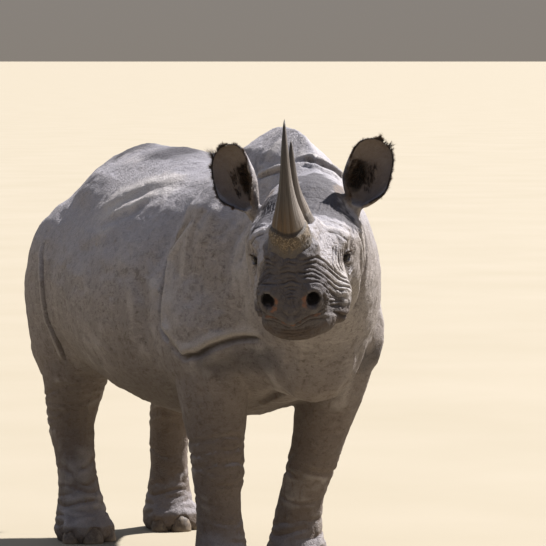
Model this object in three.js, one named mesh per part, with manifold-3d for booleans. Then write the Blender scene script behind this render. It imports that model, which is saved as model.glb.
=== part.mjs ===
// A life-size black rhinoceros, standing still with its head turned to its right and raised.
//
// Millimetres, +Z up. The animal faces -Y, its left side is +X, and it stands on Z = 0. Every
// skin is found in the same way: rays leave a spine, run out to a plain oval section that is
// read from a table of stations, swell over named masses of muscle, bone or lip, and are drawn
// in at named hollows. The whole animal is then parted into head, neck, torso, legs and tail.
import * as THREE from "three";
import { mergeVertices } from "three/addons/utils/BufferGeometryUtils.js";
import Module from "manifold-3d";

// ---------------------------------------------------------------- driving sizes, in millimetres
const GAP = 0.3; // kept between touching pieces
const HEAD_POLL = new THREE.Vector3(-221, -657, 1418); // top of the skull, between the ears
const HEAD_TURN = 30.5; // degrees that the head faces to the animal's right
const HEAD_PITCH = 22; // degrees that the nose line falls towards the muzzle
const HEAD_ROLL = 2.5; // degrees that the head is tipped to the animal's right
const EYE_RADIUS = 20;
const EYE_SEAT = { out: 134, ahead: 272, below: 148 }; // centre of the eyeball, from the poll
const FRONT_HORN = { length: 390, ahead: 508, base: 30, side: 67, fore: 86, lean: 22, sweep: 26 };
const REAR_HORN = { length: 255, ahead: 356, base: 22, side: 66, fore: 62, lean: 10, sweep: 16 };
const HORN_TILT = 1.4; // degrees that both horns lean to the animal's left
const EAR = { length: 225, halfWidth: 76, wall: 9 };
const EAR_SEATS = [
  { side: 1, out: 158, ahead: -5, below: 90, lean: 26, open: 8 },
  { side: -1, out: 174, ahead: -5, below: 90, lean: 30, open: 14 },
];
const TOES = [-44, 0, 44]; // degrees round the foot, outer, middle and inner toe
const TAIL_LENGTH = 620;
const LOCKS_PER_ROW = 7;

// -------------------------------------------------------------------------------- small helpers
const radians = THREE.MathUtils.degToRad;
const at = (x, y, z) => new THREE.Vector3(x, y, z);
const BOTH_SIDES = [1, -1]; // the animal's left, then its right
const sideName = (side) => (side > 0 ? "left" : "right");

/** Reads rows of named numbers as smooth functions of the first name. */
function stations(rows) {
  const names = Object.keys(rows[0]);
  const places = rows.map((row) => row[names[0]]);
  const samples = rows.flatMap((row) => names.map((name) => row[name]));
  const curve = new THREE.CubicInterpolant(places, samples, names.length);
  return (place) => {
    const values = curve.evaluate(place);
    return Object.fromEntries(names.map((name, i) => [name, values[i]]));
  };
}

/** Evenly spaced numbers, both ends included. */
const steps = (from, to, count) =>
  Array.from({ length: count }, (_, i) => from + ((to - from) * i) / (count - 1));

/** Repeatable random numbers from 0 to 1. */
function seeded(seed) {
  let state = seed;
  return () => {
    state = (state * 48271) % 2147483647;
    return state / 2147483647;
  };
}

// ------------------------------------------------- masses and hollows, as distances to their skin
/** An ellipsoid, turned about its own centre by Euler angles in degrees. */
function oval(centre, radii, turn = [0, 0, 0], blend = 40) {
  const quaternion = new THREE.Quaternion().setFromEuler(new THREE.Euler(...turn.map(radians)));
  const toLocal = new THREE.Matrix4().compose(centre, quaternion, at(1, 1, 1)).invert();
  const [a, b, c] = radii;
  const local = at(0, 0, 0);
  const distance = (point) => {
    local.copy(point).applyMatrix4(toLocal);
    const near = Math.hypot(local.x / a, local.y / b, local.z / c);
    const slope = Math.hypot(local.x / (a * a), local.y / (b * b), local.z / (c * c));
    return slope > 0 ? (near * (near - 1)) / slope : -Math.min(a, b, c);
  };
  return { distance, blend };
}

/** A rounded rod from one point to another, with a radius at each end. */
function rod(from, to, startRadius, endRadius, blend = 30) {
  const line = new THREE.Line3(from, to);
  const nearest = at(0, 0, 0);
  const distance = (point) => {
    const share = line.closestPointToPointParameter(point, true);
    line.at(share, nearest);
    return nearest.distanceTo(point) - THREE.MathUtils.lerp(startRadius, endRadius, share);
  };
  return { distance, blend };
}

/** The same mass on the animal's left and on its right. */
const paired = (make) => BOTH_SIDES.map(make);

/** The lower of two distances, rounded off where they are within the blend of each other. */
function smoothLower(a, b, blend) {
  const share = Math.max(blend - Math.abs(a - b), 0) / blend;
  return Math.min(a, b) - (share * share * blend) / 4;
}

const REACH = 260; // a ray starts this far outside the plain section
const MARCH = 9;

/** How far a ray runs from the spine to the skin. */
function reach(centre, direction, plain, masses, hollows) {
  const point = at(0, 0, 0);
  const distance = (run) => {
    point.copy(centre).addScaledVector(direction, run);
    let skin = run - plain;
    for (const mass of masses) skin = smoothLower(skin, mass.distance(point), mass.blend);
    for (const hollow of hollows) skin = -smoothLower(-skin, hollow.distance(point), hollow.blend);
    return skin;
  };
  let inside = plain + REACH;
  while (inside > MARCH && distance(inside) > 0) inside -= MARCH;
  let outside = inside + MARCH;
  for (let i = 0; i < 12; i++) {
    const middle = (inside + outside) / 2;
    if (distance(middle) > 0) outside = middle;
    else inside = middle;
  }
  return inside;
}

/** The plain section's radius at an angle from the side. A peak below 2 makes a steep roof. */
function sectionRadius({ side, up, down, peak = 2.2 }, angle) {
  const upper = Math.sin(angle) > 0;
  const power = upper ? peak : 2.2;
  const across = Math.abs(Math.cos(angle)) / side;
  const high = Math.abs(Math.sin(angle)) / (upper ? up : down);
  return (across ** power + high ** power) ** (-1 / power);
}

// ------------------------------------------------------------------------------- closed surfaces
/** Turns a triangle list so that it encloses a positive volume. */
function facingOut(points, triangles) {
  let volume = 0;
  for (let i = 0; i < triangles.length; i += 3) {
    const [a, b, c] = [0, 1, 2].map((k) => points[triangles[i + k]]);
    volume += a.dot(b.clone().cross(c));
  }
  if (volume < 0) triangles.reverse();
  const geometry = new THREE.BufferGeometry().setFromPoints(points);
  return geometry.setIndex(triangles);
}

/** A closed surface over rings of equally many points, its ends closed to the given poles. */
function wrap(rings, firstPole, lastPole) {
  const sides = rings[0].length;
  const points = rings.flat();
  const triangles = [];
  for (let i = 0; i + 1 < rings.length; i++) {
    for (let j = 0; j < sides; j++) {
      const next = (j + 1) % sides;
      const [a, b] = [i * sides + j, i * sides + next];
      triangles.push(a, b, b + sides, a, b + sides, a + sides);
    }
  }
  const firstIndex = points.push(firstPole) - 1;
  const lastIndex = points.push(lastPole) - 1;
  const lastRing = (rings.length - 1) * sides;
  for (let j = 0; j < sides; j++) {
    const next = (j + 1) % sides;
    triangles.push(firstIndex, next, j);
    triangles.push(lastIndex, lastRing + j, lastRing + next);
  }
  return facingOut(points, triangles);
}

/**
 * A skin found by rays. Each ring has a centre, side, up and axis directions, a section, and a
 * tilt in degrees by which its rays lean along the axis, with the depth of the round end there.
 */
function sculpt(rings, sides, masses, hollows, grow = 0) {
  const direction = at(0, 0, 0);
  const ray = (ring, angle) => {
    const tilt = radians(ring.tilt ?? 0);
    direction.copy(ring.side).multiplyScalar(Math.cos(angle) * Math.cos(tilt));
    direction.addScaledVector(ring.up, Math.sin(angle) * Math.cos(tilt));
    direction.addScaledVector(ring.axis, Math.sin(tilt));
    const round = sectionRadius(ring.section, angle);
    const lean = Math.abs(Math.sin(tilt)) / (ring.depth ?? round);
    const plain = ((Math.cos(tilt) / round) ** 2.3 + lean ** 2.3) ** (-1 / 2.3);
    const run = reach(ring.centre, direction, plain, masses, hollows) + grow;
    return ring.centre.clone().addScaledVector(direction, run);
  };
  const turns = steps(0, 2 * Math.PI, sides + 1).slice(0, sides);
  const skins = rings.map((ring) => (ring.pole ? null : turns.map((turn) => ray(ring, turn))));
  const pole = (ring) => (ring.pole ? ray({ ...ring, tilt: ring.pole }, 0) : ring.centre);
  return wrap(
    skins.filter((skin) => skin),
    pole(rings[0]),
    pole(rings[rings.length - 1]),
  );
}

// ----------------------------------------------------------------------------- joins and cuts
const wasm = await Module();
wasm.setup();

/** A three.js geometry as a solid that can be joined and cut. */
function solidOf(geometry, matrix = new THREE.Matrix4()) {
  const bare = geometry.clone().applyMatrix4(matrix);
  bare.deleteAttribute("normal");
  bare.deleteAttribute("uv");
  const merged = mergeVertices(bare, 1e-3);
  const vertProperties = new Float32Array(merged.attributes.position.array);
  const triVerts = new Uint32Array(merged.index.array);
  return new wasm.Manifold(new wasm.Mesh({ numProp: 3, vertProperties, triVerts }));
}

/** The largest closed piece of a solid, as a geometry in the frame of the given matrix. */
function geometryOf(solid, matrix = new THREE.Matrix4()) {
  const pieces = solid.decompose();
  pieces.sort((a, b) => b.volume() - a.volume());
  const mesh = pieces[0].getMesh();
  const geometry = new THREE.BufferGeometry();
  geometry.setAttribute("position", new THREE.BufferAttribute(mesh.vertProperties, 3));
  geometry.setIndex(new THREE.BufferAttribute(mesh.triVerts, 1));
  return geometry.applyMatrix4(matrix.clone().invert());
}

const HUGE = 6000;
const aboveGround = () => halfSpace(at(0, 0, 0), at(0, 0, 1));
/** Everything ahead of a point, along a direction, as a large block. */
function halfSpace(point, forward) {
  const block = new THREE.BoxGeometry(HUGE, HUGE, HUGE).translate(0, 0, HUGE / 2);
  const turn = new THREE.Quaternion().setFromUnitVectors(at(0, 0, 1), forward);
  return solidOf(block, new THREE.Matrix4().compose(point, turn, at(1, 1, 1)));
}

// --------------------------------------------------------------------------- torso and neck skin
// "ahead" runs along the spine from the withers: behind them it is negative. "level" is the
// height at which the body is widest, and "turn" the heading in degrees to the animal's right.
const trunkAt = stations([
  { ahead: -1500, x: 0, y: 1500, turn: 0, top: 1385, level: 1010, bottom: 735, side: 292, peak: 1.7 },
  { ahead: -1330, x: 0, y: 1330, turn: 0, top: 1476, level: 1010, bottom: 680, side: 355, peak: 1.55 },
  { ahead: -1180, x: 0, y: 1180, turn: 0, top: 1499, level: 1000, bottom: 635, side: 398, peak: 1.5 },
  { ahead: -1000, x: 0, y: 1000, turn: 0, top: 1492, level: 985, bottom: 590, side: 440, peak: 1.55 },
  { ahead: -740, x: 0, y: 740, turn: 0, top: 1488, level: 960, bottom: 548, side: 465, peak: 1.65 },
  { ahead: -560, x: 0, y: 560, turn: 0, top: 1464, level: 955, bottom: 535, side: 466, peak: 1.75 },
  { ahead: -420, x: 0, y: 420, turn: 0, top: 1441, level: 950, bottom: 538, side: 452, peak: 1.8 },
  { ahead: -310, x: 0, y: 310, turn: 0, top: 1438, level: 950, bottom: 552, side: 430, peak: 1.8 },
  { ahead: -230, x: 0, y: 230, turn: 0, top: 1452, level: 950, bottom: 567, side: 405, peak: 1.65 },
  { ahead: -170, x: 0, y: 170, turn: 0, top: 1514, level: 950, bottom: 580, side: 384, peak: 1.5 },
  { ahead: -110, x: 0, y: 110, turn: 0, top: 1560, level: 950, bottom: 594, side: 362, peak: 1.5 },
  { ahead: 0, x: 0, y: 0, turn: 0, top: 1580, level: 950, bottom: 625, side: 330, peak: 1.5 },
  { ahead: 150, x: 0, y: -150, turn: 2, top: 1568, level: 985, bottom: 665, side: 286, peak: 1.44 },
  { ahead: 300, x: -18, y: -298, turn: 14, top: 1512, level: 1070, bottom: 725, side: 236, peak: 1.5 },
  { ahead: 450, x: -72, y: -438, turn: 25, top: 1450, level: 1110, bottom: 815, side: 208, peak: 1.8 },
  { ahead: 600, x: -148, y: -566, turn: 29, top: 1428, level: 1160, bottom: 915, side: 186, peak: 2 },
  { ahead: 700, x: -198, y: -652, turn: 29, top: 1395, level: 1195, bottom: 1010, side: 152, peak: 2 },
  { ahead: 790, x: -242, y: -731, turn: 29, top: 1340, level: 1215, bottom: 1110, side: 96, peak: 2 },
]);

const RUMP_AHEAD = -1500;
const RUMP_DEPTH = 205;
const NECK_END = 790;

function trunkRing(ahead, tilt = 0) {
  const place = trunkAt(ahead);
  const turn = radians(place.turn);
  return {
    centre: at(place.x, place.y, place.level),
    side: at(Math.cos(turn), -Math.sin(turn), 0),
    up: at(0, 0, 1),
    axis: at(Math.sin(turn), Math.cos(turn), 0),
    section: {
      side: place.side,
      up: place.top - place.level,
      down: place.level - place.bottom,
      peak: place.peak,
    },
    tilt,
    depth: RUMP_DEPTH,
  };
}

const trunkMasses = [
  ...paired((s) => oval(at(s * 240, 60, 1090), [105, 180, 290], [8, 0, 0], 60)), // shoulder blade
  ...paired((s) => oval(at(s * 283, 70, 860), [112, 215, 200], [-14, 0, 0], 50)), // upper arm
  ...paired((s) => oval(at(s * 262, 1280, 1000), [152, 270, 270], [0, 0, 0], 80)), // haunch
  ...paired((s) => oval(at(s * 246, 1330, 840), [150, 262, 300], [14, 0, 0], 70)), // thigh
  ...paired((s) => oval(at(s * 205, 1085, 1332), [70, 130, 52], [0, s * 35, 0], 90)), // hip bone
  oval(at(-20, -330, 792), [134, 145, 138], [0, 0, 0], 90), // brisket
];
const trunkHollows = [
  ...paired((s) => oval(at(s * 500, 1010, 1310), [110, 150, 130], [0, 0, 0], 90)), // flank hollow
  ...paired((s) => rod(at(s * 300, 205, 1300), at(s * 470, 255, 960), 34, 34, 40)), // behind the
  ...paired((s) => rod(at(s * 470, 255, 960), at(s * 430, 200, 740), 34, 34, 40)), // shoulder
  ...paired((s) => rod(at(s * 295, 1530, 1230), at(s * 372, 1470, 1040), 26, 26, 30)), // between
  ...paired((s) => rod(at(s * 372, 1470, 1040), at(s * 352, 1480, 800), 26, 26, 30)), // hamstrings
];

function trunkSkin(grow) {
  const rings = [
    { ...trunkRing(RUMP_AHEAD, 90), pole: 90 },
    ...[72, 54, 36, 18].map((tilt) => trunkRing(RUMP_AHEAD, tilt)),
    ...steps(RUMP_AHEAD, -420, 14).map((ahead) => trunkRing(ahead)),
    ...steps(-370, 190, 13).map((ahead) => trunkRing(ahead)),
    ...steps(240, NECK_END, 10).map((ahead) => trunkRing(ahead)),
  ];
  return sculpt(rings, 36, trunkMasses, trunkHollows, grow);
}

// -------------------------------------------------------------------------------- head skin
// In the head's own frame the poll is the origin and the head faces -Y. "ahead" is the distance
// from the poll towards the muzzle, and heights are measured from the poll.
const headMatrix = new THREE.Matrix4()
  .makeTranslation(HEAD_POLL)
  .multiply(new THREE.Matrix4().makeRotationZ(-radians(HEAD_TURN)))
  .multiply(new THREE.Matrix4().makeRotationX(radians(HEAD_PITCH)))
  .multiply(new THREE.Matrix4().makeRotationY(-radians(HEAD_ROLL)));

const headAt = stations([
  { ahead: -170, top: -55, level: -175, bottom: -315, side: 150 },
  { ahead: -60, top: -12, level: -170, bottom: -330, side: 156 },
  { ahead: 40, top: 0, level: -175, bottom: -350, side: 166 },
  { ahead: 140, top: -10, level: -185, bottom: -362, side: 166 },
  { ahead: 240, top: -8, level: -190, bottom: -352, side: 158 },
  { ahead: 330, top: 4, level: -185, bottom: -330, side: 146 },
  { ahead: 420, top: 12, level: -176, bottom: -306, side: 129 },
  { ahead: 520, top: 12, level: -160, bottom: -282, side: 108 },
]);

const MUZZLE_AHEAD = 520;
const MUZZLE_DEPTH = 122;

function headRing(ahead, tilt = 0) {
  const place = headAt(ahead);
  return {
    centre: at(0, -ahead, place.level),
    side: at(1, 0, 0),
    up: at(0, 0, 1),
    axis: at(0, -1, 0),
    section: {
      side: place.side,
      up: place.top - place.level,
      down: place.level - place.bottom,
    },
    tilt,
    depth: MUZZLE_DEPTH,
  };
}

const headMasses = [
  oval(at(0, -508, 8), [88, 104, 38], [8, 0, 0], 30), // seat of the front horn
  oval(at(0, -360, 2), [86, 84, 32], [0, 0, 0], 30), // seat of the rear horn
  ...paired((s) => oval(at(s * 112, -262, -84), [46, 88, 42], [0, s * 35, 0], 55)), // brow
  ...paired((s) => oval(at(s * 136, -170, -135), [36, 120, 42], [0, 0, 0], 40)), // cheekbone
  ...paired((s) => oval(at(s * 136, -110, -225), [48, 120, 105], [0, 0, 0], 50)), // jaw muscle
  ...paired((s) => oval(at(s * 116, -412, -232), [36, 92, 50], [0, 0, s * 8], 45)), // lip corner
  ...paired((s) => oval(at(s * 60, -592, -114), [50, 60, 52], [0, 0, 0], 30)), // nostril mound
  oval(at(0, -585, -158), [98, 70, 50], [0, 0, 0], 36), // upper lip
  rod(at(0, -628, -145), at(0, -654, -186), 34, 14, 26), // beak of the upper lip
  oval(at(0, -525, -236), [102, 100, 50], [6, 0, 0], 44), // lower lip
];
const headHollows = [
  ...paired((s) => oval(at(s * 166, -326, -142), [26, 34, 24], [0, 0, 0], 30)), // before the eye
];

function headSkin(grow) {
  const rings = [
    ...steps(-150, 190, 10).map((ahead) => headRing(ahead)),
    ...steps(214, MUZZLE_AHEAD, 15).map((ahead) => headRing(ahead)),
    ...[10, 20, 30, 40, 50, 60, 70, 80].map((tilt) => headRing(MUZZLE_AHEAD, tilt)),
    { ...headRing(MUZZLE_AHEAD), pole: 90 },
  ];
  return sculpt(rings, 40, headMasses, headHollows, grow);
}

/** A closed tube whose round sections follow a curve, from one point past its end to another. */
function worm(points, widths, heights, sides = 10, count = 9) {
  const line = new THREE.CatmullRomCurve3(points);
  const widthAt = new THREE.SplineCurve(widths.map((w, i) => new THREE.Vector2(i, w)));
  const heightAt = new THREE.SplineCurve(heights.map((h, i) => new THREE.Vector2(i, h)));
  const rings = steps(0, 1, count).map((share) => {
    const centre = line.getPoint(share);
    const axis = line.getTangent(share);
    const side = axis.clone().cross(Math.abs(axis.z) > 0.9 ? at(0, 1, 0) : at(0, 0, 1)).normalize();
    const up = side.clone().cross(axis).normalize();
    const width = widthAt.getPoint(share).y;
    const height = heightAt.getPoint(share).y;
    return steps(0, 2 * Math.PI, sides + 1)
      .slice(0, sides)
      .map((turn) =>
        centre
          .clone()
          .addScaledVector(side, Math.cos(turn) * width)
          .addScaledVector(up, Math.sin(turn) * height),
      );
  });
  return wrap(rings, line.getPoint(0), line.getPoint(1));
}

const eyeCentre = (side) => at(side * EYE_SEAT.out, -EYE_SEAT.ahead, -EYE_SEAT.below);

/** The lids of an eye: a mound of flesh over the eyeball. */
function lidMound(side) {
  const mound = new THREE.SphereGeometry(1, 16, 11);
  mound.scale(EYE_RADIUS + 9, EYE_RADIUS + 22, EYE_RADIUS + 13);
  mound.translate(...eyeCentre(side).toArray());
  return solidOf(mound, headMatrix);
}

/** The slit between the lids, open from corner to corner down to the eyeball. */
function lidSlit(side) {
  const slit = new THREE.SphereGeometry(1, 14, 8);
  slit.scale(40, 24, 13);
  slit.rotateZ(radians(side * -32));
  slit.translate(...eyeCentre(side).add(at(side * 24, -16, -1)).toArray());
  return solidOf(slit, headMatrix);
}

/** The line of the mouth: a thin groove round the muzzle that dips below the beak. */
const mouthGroove = () =>
  worm(
    [
      at(-152, -420, -268),
      at(-134, -490, -250),
      at(-110, -560, -214),
      at(-58, -632, -188),
      at(0, -654, -207),
      at(58, -632, -188),
      at(110, -560, -214),
      at(134, -490, -250),
      at(152, -420, -268),
    ],
    [4, 24, 24, 24, 26, 24, 24, 24, 4],
    [2, 4, 5, 5, 4, 5, 5, 4, 2],
    6,
    21,
  );

/** A nostril: a comma that opens forwards and outwards, with its tail curling up and back. */
const nostrilHollow = (s) =>
  worm(
    [
      at(s * 62, -690, -128),
      at(s * 68, -652, -122),
      at(s * 72, -622, -112),
      at(s * 66, -596, -104),
    ],
    [25, 24, 20, 12],
    [30, 29, 24, 12],
    10,
    4,
  );

// ------------------------------------------------------------------------------------ legs
// A leg's section runs from its sole to inside the torso. "out" and "back" place its centre.
const foreLegRows = [
  { height: 0, out: 0, back: 0, side: 98, up: 116, down: 92 },
  { height: 26, out: 0, back: 0, side: 110, up: 130, down: 104 },
  { height: 80, out: 0, back: 2, side: 106, up: 118, down: 100 },
  { height: 140, out: 0, back: 8, side: 90, up: 94, down: 90 },
  { height: 220, out: 2, back: 14, side: 78, up: 80, down: 84 },
  { height: 310, out: 4, back: 14, side: 78, up: 82, down: 82 },
  { height: 390, out: 4, back: 8, side: 88, up: 96, down: 86 },
  { height: 470, out: 4, back: 10, side: 92, up: 96, down: 98 },
  { height: 580, out: 5, back: 22, side: 102, up: 116, down: 132 },
  { height: 680, out: 6, back: 30, side: 114, up: 138, down: 165 },
  { height: 790, out: 6, back: 30, side: 118, up: 148, down: 172 },
  { height: 900, out: 0, back: 20, side: 100, up: 140, down: 150 },
];
const hindLegRows = [
  { height: 0, out: 0, back: 0, side: 90, up: 110, down: 86 },
  { height: 26, out: 0, back: 0, side: 102, up: 122, down: 98 },
  { height: 80, out: 0, back: 4, side: 98, up: 110, down: 94 },
  { height: 140, out: 0, back: 12, side: 82, up: 86, down: 84 },
  { height: 230, out: 0, back: 26, side: 72, up: 76, down: 80 },
  { height: 330, out: 0, back: 56, side: 73, up: 82, down: 86 },
  { height: 430, out: 2, back: 68, side: 81, up: 100, down: 100 },
  { height: 520, out: 4, back: 44, side: 96, up: 122, down: 112 },
  { height: 620, out: 6, back: 4, side: 116, up: 160, down: 142 },
  { height: 730, out: 4, back: -20, side: 130, up: 196, down: 180 },
  { height: 850, out: 0, back: -24, side: 118, up: 180, down: 180 },
];

// A leg is parted from the torso along a broken line, seen from the side as (y, z) corners.
const FORE_PART = [
  [-190, -60],
  [-190, 700],
  [-60, 668],
  [215, 560],
  [360, 515],
  [360, -60],
];
const HIND_PART = [
  [1030, -60],
  [1030, 555],
  [1250, 600],
  [1450, 650],
  [1800, 740],
  [1800, -60],
];
const LEGS = [
  { name: "leg_front_left", side: 1, rows: foreLegRows, foot: [165, 220], hip: [240, -10], part: FORE_PART },
  { name: "leg_front_right", side: -1, rows: foreLegRows, foot: [215, 10], hip: [240, -10], part: FORE_PART },
  { name: "leg_hind_left", side: 1, rows: hindLegRows, foot: [212, 1460], hip: [236, 1330], part: HIND_PART },
  { name: "leg_hind_right", side: -1, rows: hindLegRows, foot: [222, 1290], hip: [236, 1320], part: HIND_PART },
];

const LEG_SIDES = 18;
const LEG_RINGS = 16;
const PART_INNER = 48; // the leg's block starts this far out from the middle of the animal

/** Where the leg's centre line is at a height: it runs from over the foot to the hip. */
function legCentre(leg, place, height, top) {
  const share = THREE.MathUtils.smoothstep(height, 60, top);
  const out = THREE.MathUtils.lerp(leg.foot[0], leg.hip[0], share) + place.out;
  const back = THREE.MathUtils.lerp(leg.foot[1], leg.hip[1], share) + place.back;
  return at(leg.side * out, back, height);
}

function legSkin(leg) {
  const rowAt = stations(leg.rows);
  const top = leg.rows.at(-1).height;
  const heights = [0, 26, ...steps(62, top, LEG_RINGS - 2)];
  const rings = heights.map((height) => {
    const place = rowAt(height);
    const section = { side: place.side, up: place.up, down: place.down };
    const [side, up, axis] = [at(1, 0, 0), at(0, -1, 0), at(0, 0, 1)];
    return { centre: legCentre(leg, place, height, top), side, up, axis, section };
  });
  const toes = TOES.map((angle) => {
    const turn = radians(angle * leg.side);
    const [x, y] = [Math.sin(turn) * 92, -Math.cos(turn) * 92];
    const centre = at(leg.side * leg.foot[0] + x, leg.foot[1] + y, 40);
    return oval(centre, [42, 42, 52], [0, 0, 0], 20);
  });
  return sculpt(rings, LEG_SIDES, toes, []);
}

/** The block of space that holds a leg below its parting line, drawn in by the given margin. */
function legBlock(leg, margin) {
  const middleY = (leg.part[0][0] + leg.part.at(-1)[0]) / 2;
  const corners = leg.part.map(([y, z]) => {
    return new THREE.Vector2(y + Math.sign(middleY - y) * margin, z - margin);
  });
  const inner = PART_INNER + margin;
  const block = new THREE.ExtrudeGeometry(new THREE.Shape(corners), {
    depth: 600 - inner,
    bevelEnabled: false,
  });
  // the shape's own axes become Y and Z, and its depth becomes X
  block.rotateX(Math.PI / 2).rotateZ(Math.PI / 2);
  block.translate(leg.side > 0 ? inner : -600, 0, 0);
  return block;
}

/** The toenails of a foot: domes that stand on the ground before each toe. */
function nails(leg, grow) {
  return TOES.map((angle, i) => {
    const turn = radians(angle * leg.side);
    const middle = i === 1;
    const [width, height] = middle ? [40, 58] : [33, 50];
    const dome = new THREE.SphereGeometry(1, 9, 7);
    dome.rotateX(Math.PI / 2);
    dome.scale(width + grow, 30 + grow, height + grow);
    dome.rotateX(radians(-14));
    dome.translate(0, middle ? -112 : -106, 14);
    dome.rotateZ(turn);
    dome.translate(leg.side * leg.foot[0], leg.foot[1], 0);
    return { name: ["outer", "middle", "inner"][i], solid: solidOf(dome) };
  });
}

// ---------------------------------------------------------------------------- horns, ears, eyes
const HORN_SUNK = 26; // a horn's flat root lies this far below the skin of its seat
const HORN_RINGS = 14;

/** A horn: round sections that shrink from the base to the tip along an arc that sweeps back. */
function hornGeometry({ length, side, fore, lean, sweep }, grow) {
  const shrink = stations([
    { share: 0, width: 1.04 },
    { share: 0.06, width: 0.96 },
    { share: 0.16, width: 0.85 },
    { share: 0.28, width: 0.68 },
    { share: 0.39, width: 0.5 },
    { share: 0.5, width: 0.36 },
    { share: 0.65, width: 0.24 },
    { share: 0.84, width: 0.14 },
    { share: 1, width: 0.04 },
  ]);
  const centre = at(0, 0, -HORN_SUNK - grow);
  const rings = [];
  const pace = (length + HORN_SUNK + grow) / (HORN_RINGS - 1);
  for (let i = 0; i < HORN_RINGS; i++) {
    const share = i / (HORN_RINGS - 1);
    const angle = radians(lean - sweep * share * 2);
    const forward = at(0, -Math.sin(angle), Math.cos(angle));
    const across = at(0, Math.cos(angle), Math.sin(angle));
    const { width } = shrink(share);
    const place = centre.clone();
    const ring = (turn) =>
      place
        .clone()
        .addScaledVector(at(1, 0, 0), Math.cos(turn) * (side * width + grow))
        .addScaledVector(across, Math.sin(turn) * (fore * width + grow));
    rings.push(steps(0, 2 * Math.PI, 17).slice(0, 16).map(ring));
    centre.addScaledVector(forward, pace);
  }
  return wrap(rings, at(0, 0, -HORN_SUNK - grow), centre.addScaledVector(at(0, 0, 1), -pace * 0.4));
}

/** An ear: a leaf rolled to a tube at its root that opens to a cup, its mouth towards -Y. */
function earGeometry() {
  const leaf = stations([
    { share: 0, width: 0.38, roll: 150 },
    { share: 0.14, width: 0.7, roll: 128 },
    { share: 0.34, width: 1, roll: 102 },
    { share: 0.6, width: 1.03, roll: 80 },
    { share: 0.8, width: 0.94, roll: 64 },
    { share: 0.93, width: 0.67, roll: 54 },
    { share: 1, width: 0.24, roll: 46 },
  ]);
  const across = steps(-1, 1, 12);
  const rings = steps(0, 1, 11).map((share) => {
    const { width, roll } = leaf(share);
    const half = radians(roll);
    const radius = (EAR.halfWidth * width) / Math.sin(Math.min(half, Math.PI / 2));
    const arc = (inset) => (part) => {
      const angle = part * half;
      const run = radius - inset;
      return at(Math.sin(angle) * run, Math.cos(angle) * run - radius * 0.6, share * EAR.length);
    };
    return [...across.map(arc(0)), ...across.toReversed().map(arc(EAR.wall))];
  });
  const middle = (ring) => {
    const sum = ring.reduce((total, point) => total.add(point), at(0, 0, 0));
    return sum.divideScalar(ring.length);
  };
  return wrap(rings, middle(rings[0]), middle(rings.at(-1)));
}

/** The rolled root of an ear, which runs down into the skull. */
const earStalk = () =>
  worm([at(0, 8, -95), at(0, 2, -45), at(0, -16, 6)], [27, 30, 25], [27, 30, 25], 11, 4);

// ------------------------------------------------------------------------------------- tail
const tailLine = new THREE.CatmullRomCurve3([
  at(0, 1550, 1275),
  at(0, 1695, 1212),
  at(0, 1758, 1080),
  at(0, 1774, 900),
  at(0, 1772, 1240 - TAIL_LENGTH),
]);

function tailSkin() {
  const rings = steps(0, 1, 16).map((share) => {
    const centre = tailLine.getPointAt(share);
    const axis = tailLine.getTangentAt(share);
    const side = at(1, 0, 0);
    const up = axis.clone().cross(side).normalize();
    const thick = THREE.MathUtils.lerp(50, 12, share ** 0.75);
    const section = { side: thick, up: thick * 0.9, down: thick * 0.9 };
    return { centre, side, up, axis, section };
  });
  return sculpt(rings, 10, [], []);
}

/** The bristles of the tail: flat tapered locks in two rows, down its front and its back edge. */
function tailLocks() {
  const random = seeded(7);
  return steps(0.74, 0.985, LOCKS_PER_ROW).flatMap((share) =>
    BOTH_SIDES.map((edge) => {
      const root = tailLine.getPointAt(share);
      const length = 85 + random() * 45;
      const swing = (random() - 0.5) * 34;
      const tip = root.clone().add(at(swing, edge * (26 + random() * 16), -length));
      const bend = root.clone().lerp(tip, 0.45).add(at(0, edge * 9, 0));
      return worm([root, bend, tip], [4, 11, 1.2], [3, 5, 1], 5, 4);
    }),
  );
}

// --------------------------------------------------------------------------------- finishes
const finish = (color, roughness) => new THREE.MeshStandardMaterial({ color, roughness, metalness: 0 });
const hide = finish("#6f6763", 0.85);
const hornFinish = finish("#6b5a44", 0.6);
const nailFinish = finish("#4d4742", 0.7);
const eyeFinish = finish("#15100d", 0.15);

// ------------------------------------------------------------------------------ the whole animal
const SKIN_GROWTH = GAP * 1.2; // a skin grown along its rays leaves about the gap on a slope
const trunk = solidOf(trunkSkin(0));
const trunkGrown = solidOf(trunkSkin(SKIN_GROWTH));
const fleshed = trunk.add(solidOf(headSkin(0), headMatrix));
const fleshedGrown = trunkGrown.add(solidOf(headSkin(SKIN_GROWTH), headMatrix));

/** Two half spaces that meet at a station of the spine with the gap between them. */
function cutAcross(ahead, lean = 0) {
  const ring = trunkRing(ahead);
  const forward = ring.axis.clone().negate();
  forward.applyAxisAngle(ring.side, radians(lean)).normalize();
  const front = halfSpace(ring.centre.clone().addScaledVector(forward, GAP / 2), forward);
  const back = forward.clone().negate();
  return [front, halfSpace(ring.centre.clone().addScaledVector(back, GAP / 2), back)];
}

const [aheadOfChest, behindNeck] = cutAcross(270, 12);
const [aheadOfNeck, behindHead] = cutAcross(612, 14);

const headGroup = new THREE.Group();
headGroup.applyMatrix4(headMatrix);
const animal = new THREE.Group();
animal.add(headGroup);

const place = (group, name, geometry, material) => {
  const mesh = new THREE.Mesh(geometry, material);
  mesh.name = name;
  group.add(mesh);
  return mesh;
};

/** A place in the head's frame, with turns in degrees about X, then Y, then Z. */
const seatMatrix = (position, turns) =>
  new THREE.Matrix4().compose(
    position,
    new THREE.Quaternion().setFromEuler(new THREE.Euler(...turns.map(radians), "ZYX")),
    at(1, 1, 1),
  );

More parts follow.
